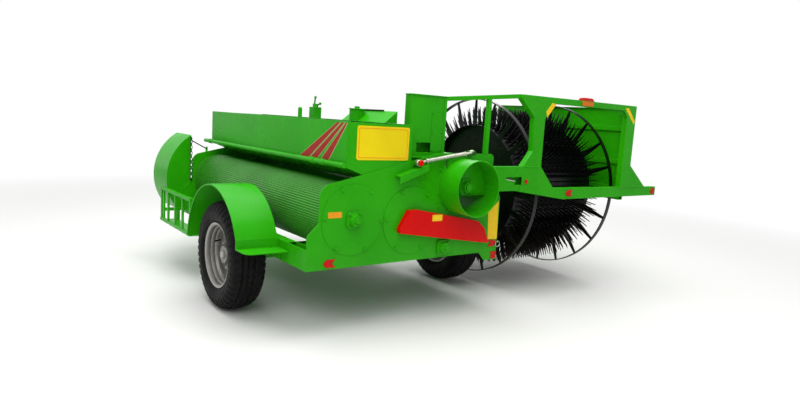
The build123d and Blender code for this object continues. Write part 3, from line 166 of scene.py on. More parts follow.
# Sides of round pieces, by how large they show
WIRE_SIDES = 8
ROD_SIDES = 10
PIN_SIDES = 12
BARREL_SIDES = 18
CHAIN_SIDES = 6


def tube(path, radius, sides, loop=False):
    """Circle carried along a path: point = path + radius (n cos t + b sin t), n and b square to it.
    An open tube is closed by a point at each end."""
    path = np.asarray(path, float)
    if loop:
        run = np.roll(path, -1, axis=0) - np.roll(path, 1, axis=0)
    else:
        run = np.gradient(path, axis=0)
    run /= np.linalg.norm(run, axis=1, keepdims=True)
    helper = AXES[np.argmin(np.abs(run).max(axis=0))]
    n = np.cross(run, helper)
    n /= np.linalg.norm(n, axis=1, keepdims=True)
    b = np.cross(run, n)
    turn = full_turn(sides)[None, :, None]
    reach = np.broadcast_to(np.asarray(radius, float), len(path))[:, None, None]
    grid = path[:, None] + reach * (np.cos(turn) * n[:, None] + np.sin(turn) * b[:, None])
    if loop:
        return skin(grid, wrap_u=True, wrap_v=True)
    ends = [np.repeat(path[i][None, None], sides, axis=1) for i in (0, -1)]
    return skin(np.concatenate([ends[0], grid, ends[1]]), wrap_v=True)


def plate(outline, normal, thick):
    """Flat outline carried along its normal: two faces and a wall between them."""
    low = np.asarray(outline, float)
    count = len(low)
    points = np.concatenate([low, low + np.asarray(normal, float) * thick])
    here = np.arange(count)
    after = np.roll(here, -1)
    walls = np.stack([here, after, after + count, here + count], axis=-1)
    return points, [walls, here[None, ::-1], here[None] + count]


def rounded(width, height, radius, per_corner=6):
    """Outline of a rectangle about its middle, each corner a quarter circle."""
    quarter = np.linspace(0, np.pi / 2, per_corner)
    turn = quarter[None] + np.arange(4)[:, None] * np.pi / 2
    sign_u = np.array([1, -1, -1, 1])[:, None]
    sign_v = np.array([1, 1, -1, -1])[:, None]
    u = sign_u * (width / 2 - radius) + radius * np.cos(turn)
    v = sign_v * (height / 2 - radius) + radius * np.sin(turn)
    return np.stack([u.ravel(), v.ravel()], axis=-1)


def on_x(flat, x):
    """(Y, Z) outline put on a plane of constant X."""
    return np.insert(np.asarray(flat, float), 0, x, axis=1)


def on_y(flat, y):
    """(X, Z) outline put on a plane of constant Y."""
    return np.insert(np.asarray(flat, float), 1, y, axis=1)


def tablet(corners, x, corner_r, thick):
    """Rounded plate between two (Y, Z) corners, standing out backwards from a plane of constant X."""
    size, at = np.ptp(corners, axis=0), np.mean(corners, axis=0)
    return plate(on_x(rounded(*size, corner_r) + at, x), BACK, thick)


# Bolt heads and nuts: width over the corners and height in millimetres
WHEEL_NUT = (30, 26)
LINK_NUT = (30, 16)
PANEL_SCREW = (11, 6)
BEARING_BOLT = (19, 12)
GEARBOX_BOLT = (20, 12)
FILLER_PLUG = (30, 20)
TOWING_BOLT = (24, 15)
REAR_BOLT = (24, 14)
# Washer and head as profiles of (share of the head's height, share of its radius)
WASHER_PROFILE = ((0, 0), (0, 1.45), (0.22, 1.4), (0.22, 0))
HEAD_PROFILE = ((0.2, 1), (0.85, 1), (1, 0.8), (1, 0))
WASHER_SIDES = 14
HEAD_SIDES = 6
# Four bolts in a square, as signs of its two directions
SQUARE = np.array([(-1, -1), (-1, 1), (1, -1), (1, 1)])


def hex_heads(size_mm, places, axis, sign):
    """Bolt heads: a six-sided profile with a chamfered top, on a washer, at each place."""
    scale = np.array([size_mm[1], size_mm[0] / 2]) * MM
    washer = lathe(WASHER_PROFILE * scale, (0, 0, 0), axis, WASHER_SIDES)
    head = lathe(HEAD_PROFILE * scale, (0, 0, 0), axis, HEAD_SIDES)
    flip = np.eye(3)
    flip[axis, axis] = sign
    return copies(turned(joined([washer, head]), flip), places)


# Materials. A cloudy pattern's values lie mostly in the range that CLOUD names.
CLOUD = {"From Min": 0.3, "From Max": 0.7}
WHITE = (1.0, 1.0, 1.0, 1.0)
DUST = "#8F8468"
COAT_SHARE = 0.3
DIRT_AND_SHADE = "dirt_and_shade"


def linear(code):
    """sRGB hex to linear: c / 12.92 up to 0.04045, then ((c + 0.055) / 1.055) to the power 2.4."""
    srgb = np.array([int(code[i : i + 2], 16) for i in (1, 3, 5)]) / 255
    flat = np.where(srgb <= 0.04045, srgb / 12.92, ((srgb + 0.055) / 1.055) ** 2.4)
    return (*flat.tolist(), 1.0)


def feed(tree, node, inputs):
    """A node's inputs by name or number, each a value or another node's output."""
    for name, value in inputs.items():
        if isinstance(value, bpy.types.NodeSocket):
            tree.links.new(value, node.inputs[name])
        else:
            node.inputs[name].default_value = value


def add(tree, kind, output, inputs=None, **settings):
    """One shader node with its settings and its inputs; gives the output asked for."""
    node = tree.nodes.new("ShaderNode" + kind)
    for name, value in settings.items():
        setattr(node, name, value)
    feed(tree, node, inputs or {})
    return node.outputs[output]


def begun(name):
    """A new material with its tree, its shader and its Object coordinates."""
    material = bpy.data.materials.new(name)
    material.use_nodes = True
    tree = material.node_tree
    return material, tree, tree.nodes["Principled BSDF"], add(tree, "TexCoord", "Object")


def enamel(name, colour, deep, rough, shine):
    """Sprayed two-pack enamel on sheet steel: even colour that drifts a little over a panel,
    a soft gloss with fine orange peel, slight waves in the sheet and a trace of dust low down."""
    material, tree, shader, coords = begun(name)
    cloud = add(tree, "TexNoise", "Fac", {"Vector": coords, "Scale": METRE_MM / 420, "Detail": 2.0})
    drift = add(tree, "MapRange", "Result", {"Value": cloud, **CLOUD})
    paint = add(tree, "Mix", 2, {0: drift, 6: linear(colour), 7: linear(deep)}, data_type="RGBA")
    height = add(tree, "SeparateXYZ", "Z", {"Vector": coords})
    fall = {"From Min": 0.1, "From Max": 0.7, "To Min": 0.1, "To Max": 0.0}
    settled = add(tree, "MapRange", "Result", {"Value": height, **fall})
    cloud = add(tree, "TexNoise", "Fac", {"Vector": coords, "Scale": METRE_MM / 60, "Detail": 5.0})
    speckle = add(tree, "MapRange", "Result", {"Value": cloud, **CLOUD, "To Min": 0.2})
    dusty = add(tree, "Math", 0, {0: settled, 1: speckle}, operation="MULTIPLY")
    cloud = add(tree, "TexNoise", "Fac", {"Vector": coords, "Scale": METRE_MM / 90, "Detail": 4.0})
    gloss = {"To Min": rough - 0.05, "To Max": rough + 0.07}
    # Orange peel is about 2 mm across; 7 mm is what still shows in the picture.
    peel = add(tree, "TexNoise", "Fac", {"Vector": coords, "Scale": METRE_MM / 7, "Detail": 2.0})
    peeled = add(tree, "Bump", "Normal", {"Height": peel, "Distance": 0.12 * MM, "Strength": 1.0})
    wave = add(tree, "TexNoise", "Fac", {"Vector": coords, "Scale": METRE_MM / 260, "Detail": 1.0})
    waved = {"Height": wave, "Distance": 1.6 * MM, "Strength": 1.0, "Normal": peeled}
    look = {
        "Base Color": add(tree, "Mix", 2, {0: dusty, 6: paint, 7: linear(DUST)}, data_type="RGBA"),
        "Roughness": add(tree, "MapRange", "Result", {"Value": cloud, **CLOUD, **gloss}),
        "Normal": add(tree, "Bump", "Normal", waved),
        "IOR": 1.5,
        "Specular IOR Level": shine,
        "Coat Weight": shine * COAT_SHARE,
        "Coat Roughness": 0.12,
    }
    feed(tree, shader, look)
    return material


def rim_paint():
    """Aluminium-pigment paint on pressed steel: pale grey and half metallic, bright on the steps' edges,
    darkened by dirt and by painted shade in their corners and over the dish, through the rim's own
    attribute."""
    material, tree, shader, coords = begun("aluminium_paint")
    cloud = add(tree, "TexNoise", "Fac", {"Vector": coords, "Scale": METRE_MM / 9, "Detail": 3.0})
    flake = add(tree, "MapRange", "Result", {"Value": cloud, **CLOUD})
    silver = {0: flake, 6: linear("#ADABA5"), 7: linear("#8D8B85")}
    silver = add(tree, "Mix", 2, silver, data_type="RGBA")
    # The attribute darkens the rim: dirt, and painted shade in the steps' corners and over the dish
    gathered = add(tree, "Attribute", "Fac", attribute_name=DIRT_AND_SHADE)
    cloud = add(tree, "TexNoise", "Fac", {"Vector": coords, "Scale": METRE_MM / 40, "Detail": 4.0})
    patch = add(tree, "MapRange", "Result", {"Value": cloud, **CLOUD, "To Min": 0.8})
    dirt_and_shade = add(tree, "Math", 0, {0: gathered, 1: patch}, operation="MULTIPLY")
    dirt_and_shade_mix = {0: dirt_and_shade, 6: silver, 7: linear("#1C1C1B")}
    cloud = add(tree, "TexNoise", "Fac", {"Vector": coords, "Scale": METRE_MM / 70, "Detail": 4.0})
    gloss = {"To Min": 0.26, "To Max": 0.42}
    press = add(tree, "TexNoise", "Fac", {"Vector": coords, "Scale": METRE_MM / 14, "Detail": 2.0})
    look = {
        "Base Color": add(tree, "Mix", 2, dirt_and_shade_mix, data_type="RGBA"),
        "Roughness": add(tree, "MapRange", "Result", {"Value": cloud, **CLOUD, **gloss}),
        "Normal": add(tree, "Bump", "Normal", {"Height": press, "Distance": 0.15 * MM, "Strength": 1.0}),
        "Metallic": 0.35,
    }
    feed(tree, shader, look)
    return material


def tyre_rubber():
    """Carbon-black tyre rubber: matt, slightly brown with road dust on its high places."""
    material, tree, shader, coords = begun("tyre_rubber")
    cloud = add(tree, "TexNoise", "Fac", {"Vector": coords, "Scale": METRE_MM / 130, "Detail": 5.0})
    dusty = {"From Min": 0.42, "From Max": 0.75, "To Min": 0.0, "To Max": 0.3}
    dust = add(tree, "MapRange", "Result", {"Value": cloud, **dusty})
    black = {0: dust, 6: linear("#060607"), 7: linear("#262522")}
    cloud = add(tree, "TexNoise", "Fac", {"Vector": coords, "Scale": METRE_MM / 25, "Detail": 2.0})
    gloss = {"To Min": 0.5, "To Max": 0.72}
    # Moulding grain is under 1 mm; 6 mm is what still shows in the picture.
    grain = add(tree, "TexNoise", "Fac", {"Vector": coords, "Scale": METRE_MM / 6, "Detail": 4.0})
    look = {
        "Base Color": add(tree, "Mix", 2, black, data_type="RGBA"),
        "Roughness": add(tree, "MapRange", "Result", {"Value": cloud, **CLOUD, **gloss}),
        "Normal": add(tree, "Bump", "Normal", {"Height": grain, "Distance": 0.35 * MM, "Strength": 1.0}),
        "Specular IOR Level": 0.12,
    }
    feed(tree, shader, look)
    return material


def metal(name, colour, deep, rough, grain_mm, stretch=(1, 1, 1)):
    """Bare metal: drawn or brushed along one direction, so its grain is long that way."""
    material, tree, shader, coords = begun(name)
    drawn = add(tree, "Mapping", "Vector", {"Vector": coords, "Scale": stretch})
    grain = add(tree, "TexNoise", "Fac", {"Vector": drawn, "Scale": METRE_MM / grain_mm, "Detail": 4.0})
    share = add(tree, "MapRange", "Result", {"Value": grain, **CLOUD})
    gloss = {"To Min": rough - 0.08, "To Max": rough + 0.1}
    tone = {0: share, 6: linear(colour), 7: linear(deep)}
    look = {
        "Base Color": add(tree, "Mix", 2, tone, data_type="RGBA"),
        "Roughness": add(tree, "MapRange", "Result", {"Value": grain, **CLOUD, **gloss}),
        "Normal": add(tree, "Bump", "Normal", {"Height": grain, "Distance": 0.1 * MM, "Strength": 1.0}),
        "Metallic": 1.0,
    }
    feed(tree, shader, look)
    return material


def lens(name, colour, deep):
    """Moulded acrylic lens: clear coloured skin over small prisms, 6 mm across, that break up the light."""
    material, tree, shader, coords = begun(name)
    cells = add(tree, "TexVoronoi", "Distance", {"Vector": coords, "Scale": METRE_MM / 6})
    share = add(tree, "MapRange", "Result", {"Value": cells, "From Min": 0.0, "From Max": 0.6})
    tone = {0: share, 6: linear(colour), 7: linear(deep)}
    look = {
        "Base Color": add(tree, "Mix", 2, tone, data_type="RGBA"),
        "Normal": add(tree, "Bump", "Normal", {"Height": cells, "Distance": 0.6 * MM, "Strength": 1.0}),
        "Roughness": 0.2,
        "IOR": 1.49,
        "Specular IOR Level": 0.2,
    }
    feed(tree, shader, look)
    return material


def vinyl(name, colour, deep):
    """Cut vinyl film: flat even colour, half gloss, with faint rubbing marks."""
    material, tree, shader, coords = begun(name)
    cloud = add(tree, "TexNoise", "Fac", {"Vector": coords, "Scale": METRE_MM / 45, "Detail": 4.0})
    rub = add(tree, "MapRange", "Result", {"Value": cloud, **CLOUD, "To Max": 0.6})
    tone = {0: rub, 6: linear(colour), 7: linear(deep)}
    cloud = add(tree, "TexNoise", "Fac", {"Vector": coords, "Scale": METRE_MM / 30, "Detail": 3.0})
    gloss = {"To Min": 0.32, "To Max": 0.5}
    look = {
        "Base Color": add(tree, "Mix", 2, tone, data_type="RGBA"),
        "Roughness": add(tree, "MapRange", "Result", {"Value": cloud, **CLOUD, **gloss}),
        "IOR": 1.52,
        "Specular IOR Level": 0.2,
    }
    feed(tree, shader, look)
    return material


SLOT_FINISH = {
    "green_paint": enamel("gloss_green_enamel", "#2BA106", "#249704", rough=0.3, shine=0.1),
    "green_screen": enamel("satin_green_enamel", "#358A1E", "#2A7A15", rough=0.36, shine=0.3),
    "red_paint": enamel("gloss_red_enamel", "#D60000", "#C80000", rough=0.3, shine=0.1),
    "black_paint": enamel("satin_black_enamel", "#060607", "#030304", rough=0.3, shine=0.22),
    "yellow_paint": enamel("gloss_yellow_enamel", "#EBD308", "#E0C706", rough=0.34, shine=0.15),
    "silver_paint": rim_paint(),
    "tyre_rubber": tyre_rubber(),
    "zinc_steel": metal("zinc_plated_steel", "#C4C2B6", "#A19F94", rough=0.38, grain_mm=24),
    "forged_steel": metal("forged_steel", "#4A4744", "#2F2D2B", rough=0.6, grain_mm=12),
    "bright_steel": metal("machined_steel", "#C9C9CB", "#A5A5A8", 0.25, grain_mm=16, stretch=(0.15, 1, 1)),
    "red_lens": lens("red_acrylic", "#DE0A04", "#B00502"),
    "amber_lens": lens("amber_acrylic", "#F08A10", "#C85F06"),
}
RED_VINYL = vinyl("red_vinyl", "#A5180F", "#86140C")
PALE_VINYL = vinyl("pale_vinyl", "#A9C884", "#93B46C")
YELLOW_VINYL = vinyl("yellow_vinyl", "#F0C814", "#DDB40E")
ORANGE_VINYL = vinyl("orange_vinyl", "#EE9A1A", "#D98712")
NODE_SLOT = {row["node"]: row["material_slot"] for row in frame["record"]["subparts"]}


# Pieces. Angles are in degrees, and points closer than these are one.
SMOOTH_TO = 35
TYRE_SMOOTH_TO = 50
RIM_SMOOTH_TO = 40
FLAT_WITHIN = 0.4
EDGE_FROM = 40
EDGE_STEPS = 2
SAME_POINT = 1e-6
SAME_CORNER = 1e-5


def finished(name, mesh, finish, body, smooth_to=SMOOTH_TO):
    """An object from a mesh: smooth up to an angle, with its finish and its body."""
    mesh.shade_smooth()
    mesh.set_sharp_from_angle(angle=radians(smooth_to))
    mesh.materials.clear()
    mesh.materials.append(finish)
    made = bpy.data.objects.new(name, mesh)
    bpy.context.scene.collection.objects.link(made)
    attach(made, body)
    return made


def piece(name, shape, slot, body="chassis", smooth_to=SMOOTH_TO, finish=None):
    """A new piece from a shape: its doubles merged and its faces turned outwards."""
    points, faces = shape
    mesh = bpy.data.meshes.new(name)
    mesh.from_pydata(points.tolist(), [], [row for block in faces for row in block.tolist()])
    work = bmesh.new()
    work.from_mesh(mesh)
    bmesh.ops.remove_doubles(work, verts=work.verts, dist=SAME_POINT)
    bmesh.ops.recalc_face_normals(work, faces=work.faces)
    work.to_mesh(mesh)
    work.free()
    return finished(name, mesh, finish or SLOT_FINISH[slot], body, smooth_to)


def softened(node, edge_mm):
    """Copy of a solid with its triangles merged into flat faces and its sharp edges rounded."""
    source, slot = frame["nodes"][node], NODE_SLOT[node]
    mesh = source.data.copy()
    mesh.name = node + "_finish"
    work = bmesh.new()
    work.from_mesh(mesh)
    bmesh.ops.remove_doubles(work, verts=work.verts, dist=SAME_CORNER)
    bmesh.ops.dissolve_limit(work, angle_limit=radians(FLAT_WITHIN), verts=work.verts, edges=work.edges)
    work.to_mesh(mesh)
    work.free()
    made = finished(node + "_finish", mesh, SLOT_FINISH[slot], source["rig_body"])
    edges = made.modifiers.new("rounded_edges", "BEVEL")
    edges.width = edge_mm * MM
    edges.segments = EDGE_STEPS
    edges.limit_method = "ANGLE"
    edges.angle_limit = radians(EDGE_FROM)
    edges.harden_normals = True
    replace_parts(made, node)


# Edge rounding in millimetres: rolled tubes are rounder than welded plates and folded sheet
EDGE_MM = {
    "main_frame": 8, "drawbar": 8, "side_beam": 6, "front_beam": 6, "axle_beam": 6, "header_top_beam": 5,
    "jack_body": 5, "jack_leg": 5, "side_basket": 4, "header_top_bar": 4,
    "header_beam": 4, "header_post": 4, "header_side_post": 4, "drum_arm": 3,
    "rear_plate": 2.5, "front_plate": 2.5, "elevator_column": 2.5, "belt_guard": 2.5,
    "tank_left": 1.5, "tank_right": 1.5, "tank_ends": 1.2, "tank_floor": 1.2, "top_deck": 1.5,
    "right_side_sheet": 1.5, "conveyor_head": 1.5, "side_panel": 1.5, "hood": 1.5, "plate_bracket": 2,
    "discharge_tube": 1.5, "tube_end_plate": 1.5, "feed_trough": 1.5, "crusher_housing": 1.5,
    "drum_covers": 2, "rear_bearings": 3, "drum_bearings": 3, "valve_block": 3, "filler_pipe": 2,
    "tank_pipe": 2, "feed_auger": 2, "hitch_eye": 6, "gearbox": 3,
    "drum_body": 1.5, "drum_hoops": 2, "drum_shaft": 2, "mudguard": 1.2, "reflectors": 2,
}


# Tyre: its section from bead to crown, by how far and how squarely it bulges
TYRE_RISE = 0.195
TYRE_WRAP = 2.6
TYRE_SQUARENESS = 2.9
TYRE_ROWS = 132
NOTCHES = 44
STEPS_A_NOTCH = 12
TREAD_DEPTH = 0.011
# Grooves round the crown: places as shares of the half width, and how deep below the crown they reach
GROOVES_AT = (-0.5, -0.17, 0.17, 0.5)
GROOVE_W = 0.011
GROOVE_WALL = 0.002
GROOVE_SWAY = 0.010
CROWN_H = 0.026
CROWN_FADE = 0.008
# Notches: shares of the half width where they begin, height below the crown, and shares of their pitch
SHOULDER_FROM = 0.62
SHOULDER_FADE = 0.05
NOTCH_H = 0.092
NOTCH_FADE = 0.030
NOTCH_HALF = 0.2
NOTCH_WALL = 0.06
NOTCH_LEAN = 0.25
# Shares of a cut that go across and, at the least, towards the axle
CUT_ACROSS = 0.6
CUT_LEAST = 0.35
# Raised rings on the sidewalls, by their height over the bead
SIDE_RINGS = (0.044, 0.062, 0.112)
RING_W = 0.003
RING_H = 0.0016


def squared_off(x):
    """S(x) = sign(x) |x| to the power 2 / n, which squares a circle off."""
    return np.sign(x) * np.abs(x) ** (2 / TYRE_SQUARENESS)


def tyre_casing(node):
    """Tyre: a superellipse section carried round the axle, y = half S(sin p), r = mid + rise S(cos p),
    less the tread, which is zigzag grooves round the crown and notches across the two shoulders,
    and with rings, exp(-(off / width) squared), on its sides."""
    low, high = span(node)
    centre, half = (low + high) / 2, (high[1] - low[1]) / 2
    outer = (high[2] - low[2]) / 2
    bead = outer - TYRE_RISE
    p = np.linspace(-TYRE_WRAP, TYRE_WRAP, TYRE_ROWS)[:, None]
    turn = full_turn(NOTCHES * STEPS_A_NOTCH)[None, :]
    y = half * squared_off(np.sin(p)) + 0 * turn
    r = (outer + bead) / 2 + (outer - bead) / 2 * squared_off(np.cos(p)) + 0 * turn
    zigzag = np.abs((turn * NOTCHES / np.pi) % 2 - 1) - 0.5
    groove = 0
    for share in GROOVES_AT:
        off = np.abs(y - half * share - zigzag * GROOVE_SWAY)
        groove = np.maximum(groove, ramp((GROOVE_W + GROOVE_WALL) / 2 - off, GROOVE_WALL))
    groove = groove * ramp(r - outer + CROWN_H, CROWN_FADE)
    shoulder = ramp(np.abs(y) / half - SHOULDER_FROM, SHOULDER_FADE) * ramp(r - outer + NOTCH_H, NOTCH_FADE)
    stagger = np.where(y > 0, 0.0, 0.5)
    phase = (turn * NOTCHES / (2 * np.pi) + stagger + NOTCH_LEAN * np.abs(y) / half) % 1
    notch = ramp(NOTCH_HALF - np.abs(phase - 0.5), NOTCH_WALL) * shoulder
    inward = TREAD_DEPTH * np.maximum(groove, notch)
    rings = sum(np.exp(-(((r - bead - at) / RING_W) ** 2)) for at in SIDE_RINGS)
    y = y + (RING_H * rings - CUT_ACROSS * inward) * np.sin(p)
    r = r - inward * np.maximum(np.cos(p), CUT_LEAST)
    grid = centre + np.stack([r * np.cos(turn), y, r * np.sin(turn)], axis=-1)
    return skin(grid, wrap_u=True, wrap_v=True)


# Outwards and radius in millimetres, and the share of dirt and painted shade there, high in the
# steps' corners and over the dish: the outer face from the rolled lip over the steps to the hub, then the
# back
RIM_PROFILE = (
    (112, 266, 0.5), (117, 269, 0.2), (121, 268, 0.0), (122, 264, 0.0), (119, 258, 0.1), (115, 250, 0.4),
    (112, 246, 0.15), (82, 242, 0.9), (78, 235, 0.0), (50, 231, 0.9), (46, 224, 0.0), (26, 220, 0.9),
    (19, 213, 0.85), (17, 204, 0.9), (19, 170, 0.85), (14, 160, 0.9), (9, 104, 0.85), (6, 84, 0.95),
    (8, 76, 0.9), (56, 75, 0.7), (62, 70, 0.5), (62, 22, 0.7), (-52, 22, 0.8), (-52, 75, 0.8),
    (-10, 75, 0.8), (10, 218, 0.8), (-118, 245, 0.6), (-122, 250, 0.4), (-122, 267, 0.4), (-118, 269, 0.5),
    (-104, 256, 0.6), (-40, 246, 0.6), (0, 234, 0.6), (40, 246, 0.6), (104, 256, 0.6),
)
RIM_STEPS = 96


def wheel_rim(node, side):
    """Rim: one closed profile of (outwards, radius) turned about the axle: the rolled lip,
    the bead seat, two steps down the dish, the disc, the hub and the plain back."""
    profile = np.array(RIM_PROFILE)[:, :2] * MM * (side, 1)
    return lathe(profile, middle(node), 1, RIM_STEPS, closed=True)


def rim_dirt_and_shade(rim, node, side):
    """Share of dirt and painted shade of each point of a rim, kept as an attribute: that of the profile's
    nearest point.
    """
    points = np.empty(len(rim.data.vertices) * 3, np.float32)
    rim.data.vertices.foreach_get("co", points)
    off = points.reshape(-1, 3) - middle(node)
    here = np.stack([side * off[:, 1], np.hypot(off[:, 0], off[:, 2])], axis=-1) / MM
    table = np.array(RIM_PROFILE, np.float32)
    nearest = np.linalg.norm(here[:, None] - table[None, :, :2], axis=-1).argmin(axis=1)
    rim.data.attributes.new(DIRT_AND_SHADE, "FLOAT", "POINT").data.foreach_set("value", table[nearest, 2])


# Hub cap as (outwards, radius) in millimetres, nuts on their circle, and the valve's line from the
# wheel's middle with its Y outwards
HUB_OUT = 0.062
CAP_PROFILE = ((0, 0), (0, 34), (10, 34), (18, 26), (20, 0))
CAP_STEPS = 40
NUT_OUT = 0.011
NUT_CIRCLE = 0.110
WHEEL_NUTS = 8
VALVE_LINE = ((0.184, 0.014, 0.084), (0.180, 0.044, 0.082), (0.175, 0.069, 0.080))
VALVE_R = 0.007


def wheel_fittings(node, side):
    """Hub cap, turned from its profile, the wheel nuts on a circle, and the valve, a bent tube."""
    centre = middle(node)
    cap = lathe(np.array(CAP_PROFILE) * MM * (side, 1), centre + (0, side * HUB_OUT, 0), 1, CAP_STEPS)
    places = centre + (0, side * NUT_OUT, 0) + NUT_CIRCLE * arc(full_turn(WHEEL_NUTS), 1)
    nuts = hex_heads(WHEEL_NUT, places, 1, side)
    return joined([cap, nuts]), tube(centre + np.array(VALVE_LINE) * (1, side, 1), VALVE_R, WIRE_SIDES)


# Screen: wires, and from each end the plain band's edges and the first row of points between them
WIRES = 84
WIRE_STEPS = 12
WIRE_DEPTH = 0.012
WIRE_POWER = 0.3
WIRE_ROWS = 9
WIRE_ROWS_FROM = 0.3
BAND_ROWS = (0, 0.004, 0.060, 0.064)
BAND_W = 0.062
BAND_EDGE = 0.001
SCREEN_LINING = 0.002


def wedge_wire():
    """Screen: wires side by side along the cylinder, ended by a plain band at each end,
    r = outer - depth (1 - |sin(n t / 2)| to the power 0.3), and a plain lining inside."""
    low, high = span("sieve_screen")
    centre, outer = (low + high) / 2, (high[2] - low[2]) / 2
    turn = full_turn(WIRES * WIRE_STEPS)[None, :]
    band = low[0] + np.array(BAND_ROWS)
    rows = np.linspace(low[0] + WIRE_ROWS_FROM, high[0] - WIRE_ROWS_FROM, WIRE_ROWS)
    x = np.concatenate([band, rows, (low + high)[0] - band[::-1]])[:, None]
    wires = np.abs(np.sin(turn * WIRES / 2)) ** WIRE_POWER
    inside = ramp(np.minimum(x - low[0], high[0] - x) - BAND_W, BAND_EDGE)
    outside = round_x(x, outer - WIRE_DEPTH * (1 - wires) * inside, turn, centre)
    lining = round_x(x[[-1, 0]], outer - WIRE_DEPTH - SCREEN_LINING, turn, centre)
    return skin(np.concatenate([outside, lining]), wrap_u=True, wrap_v=True)


# Rolled edge of the mudguard, by its angles from the front in degrees
GUARD_FRONT = 9.0
GUARD_REAR = 156.0
GUARD_BEAD = 0.006
GUARD_STEPS = 70


def guard_beads():
    """Rolled edges of the mudguard: a wire carried round each side of the arch,
    point = axle + r (cos a, sin a), from the front stay to the step."""
    low, high = span("mudguard")
    wheel = middle("tyre_left")
    r = high[2] - wheel[2] - GUARD_BEAD
    line = wheel * (1, 0, 1) + r * arc(np.radians(np.linspace(GUARD_FRONT, GUARD_REAR, GUARD_STEPS)), 1)
    sides = (high[1] - GUARD_BEAD, low[1] + 2 * GUARD_BEAD)
    return joined([tube(line + (0, y, 0), GUARD_BEAD, WIRE_SIDES) for y in sides])


# Stripes' feet and heads along X from the axle, rear edge last, and their heights
STRIPE_FEET = ((-0.249, -0.408), (-0.432, -0.546), (-0.610, -0.726))
STRIPE_HEADS = ((-0.840, -0.882), (-0.905, -0.942), (-0.962, -0.985))
STRIPE_LOW = 1.285
STRIPE_TOP = 1.588
STRIPE_EDGE = 0.007
FILM = 0.0012
STRIPE_EDGE_FILM = 0.6 * FILM


def tank_stripes():
    """Three tapering stripes up the tank's left side: each a four-cornered film between two edges."""
    films, edges = [], []
    spread = np.array([1, -1, -1, 1])[:, None] * (STRIPE_EDGE, 0, 0)
    heights = (STRIPE_LOW, STRIPE_LOW, STRIPE_TOP, STRIPE_TOP)
    for (x0, x1), (x2, x3) in zip(STRIPE_FEET, STRIPE_HEADS):
        along = AXLE[0] + np.array([x0, x1, x3, x2])
        outline = on_y(np.stack([along, heights], axis=-1), TANK_SIDE)
        films.append(plate(outline, AXES[1], FILM))
        edges.append(plate(outline + spread, AXES[1], STRIPE_EDGE_FILM))
    return joined(films), joined(edges)


# Screw link: eyes, then the rod's parts as shares of the length from its middle, and its radii
LINK_EYE = 0.024
LINK_BORE = 0.0125
LINK_BEVEL = 0.003
EYE_STEPS = 32
ROD_FROM = 0.8 * LINK_EYE
ROD_STEPS = 420
BARREL_HALF = 0.37
BARREL_R = 0.0185
COLLAR_AT = 0.355
COLLAR_HALF = 0.015
COLLAR_R = 0.0215
THREAD_CORE = 0.009
THREAD_H = 0.0022
THREAD_PITCH = 0.012


def link_ends(x):
    """Middles of the screw link's left and right eye, at a place along X."""
    low, high = span("top_link")
    left = np.array([x, high[1] - LINK_EYE, low[2] + LINK_EYE])
    right = np.array([x, low[1] + LINK_EYE, high[2] - LINK_EYE])
    return left, right


def screw_link():
    """Screw link: a barrel with a collar near each end, between two threaded ends,
    r = core + height times a zigzag of the way over the pitch, and an eye at each end."""
    low, high = span("top_link")
    start, end = link_ends((low[0] + high[0]) / 2)
    length = np.linalg.norm(end - start)
    s = np.linspace(ROD_FROM, length - ROD_FROM, ROD_STEPS)
    off = np.abs(s / length - 0.5)
    thread = THREAD_CORE + THREAD_H * np.abs((s / THREAD_PITCH) % 1 - 0.5) * 2
    barrel = np.where(np.abs(off - COLLAR_AT) < COLLAR_HALF, COLLAR_R, BARREL_R)
    radius = np.where(off < BARREL_HALF, barrel, thread)
    rod = tube(start + (end - start) / length * s[:, None], radius, BARREL_SIDES)
    half, flat = (high[0] - low[0]) / 2, LINK_EYE - LINK_BEVEL
    profile = [(-half, LINK_BORE), (half, LINK_BORE), (half, flat), (half - LINK_BEVEL, LINK_EYE)]
    profile += [(-half + LINK_BEVEL, LINK_EYE), (-half, flat)]
    return joined([rod] + [lathe(profile, at, 0, EYE_STEPS, closed=True) for at in (start, end)])


# Knob as (along, radius) in millimetres, and the hook from the barrel's underside down the plate,
# by (X from the link, Y from the axle, Z)
KNOB_PROFILE = ((0, 0), (0, 11), (-9, 11), (-13, 22), (-22, 25), (-31, 19), (-34, 0))
KNOB_STEPS = 32
HOOK = (
    (0, -0.225, 1.338), (0, -0.227, 1.300), (0.004, -0.240, 1.262),
    (0.010, -0.253, 1.240), (0.004, -0.262, 1.250),
)
HOOK_WIRE = 0.004


def link_knob():
    """Red ball knob on the link's left pin: a mushroom profile turned about X."""
    left, _ = link_ends(span("top_link")[0][0])
    return lathe(np.array(KNOB_PROFILE) * MM, left, 0, KNOB_STEPS)


def link_hardware():
    """Nut on the link's right pin, and the hook that hangs from its barrel, a wire along a bent line."""
    _, right = link_ends(span("top_link")[0][0])
    hook = np.array(HOOK) + (middle("top_link")[0], AXLE[1], 0)
    return joined([hex_heads(LINK_NUT, [right], 0, -1), tube(hook, HOOK_WIRE, WIRE_SIDES)])


# Spikes, as large as the solids' own
SPIKE_ROWS = 40
SPIKES_IN_ROW = 14
SPIKE_W = 0.034
SPIKE_T = 0.008
STRIP_UP = 0.012


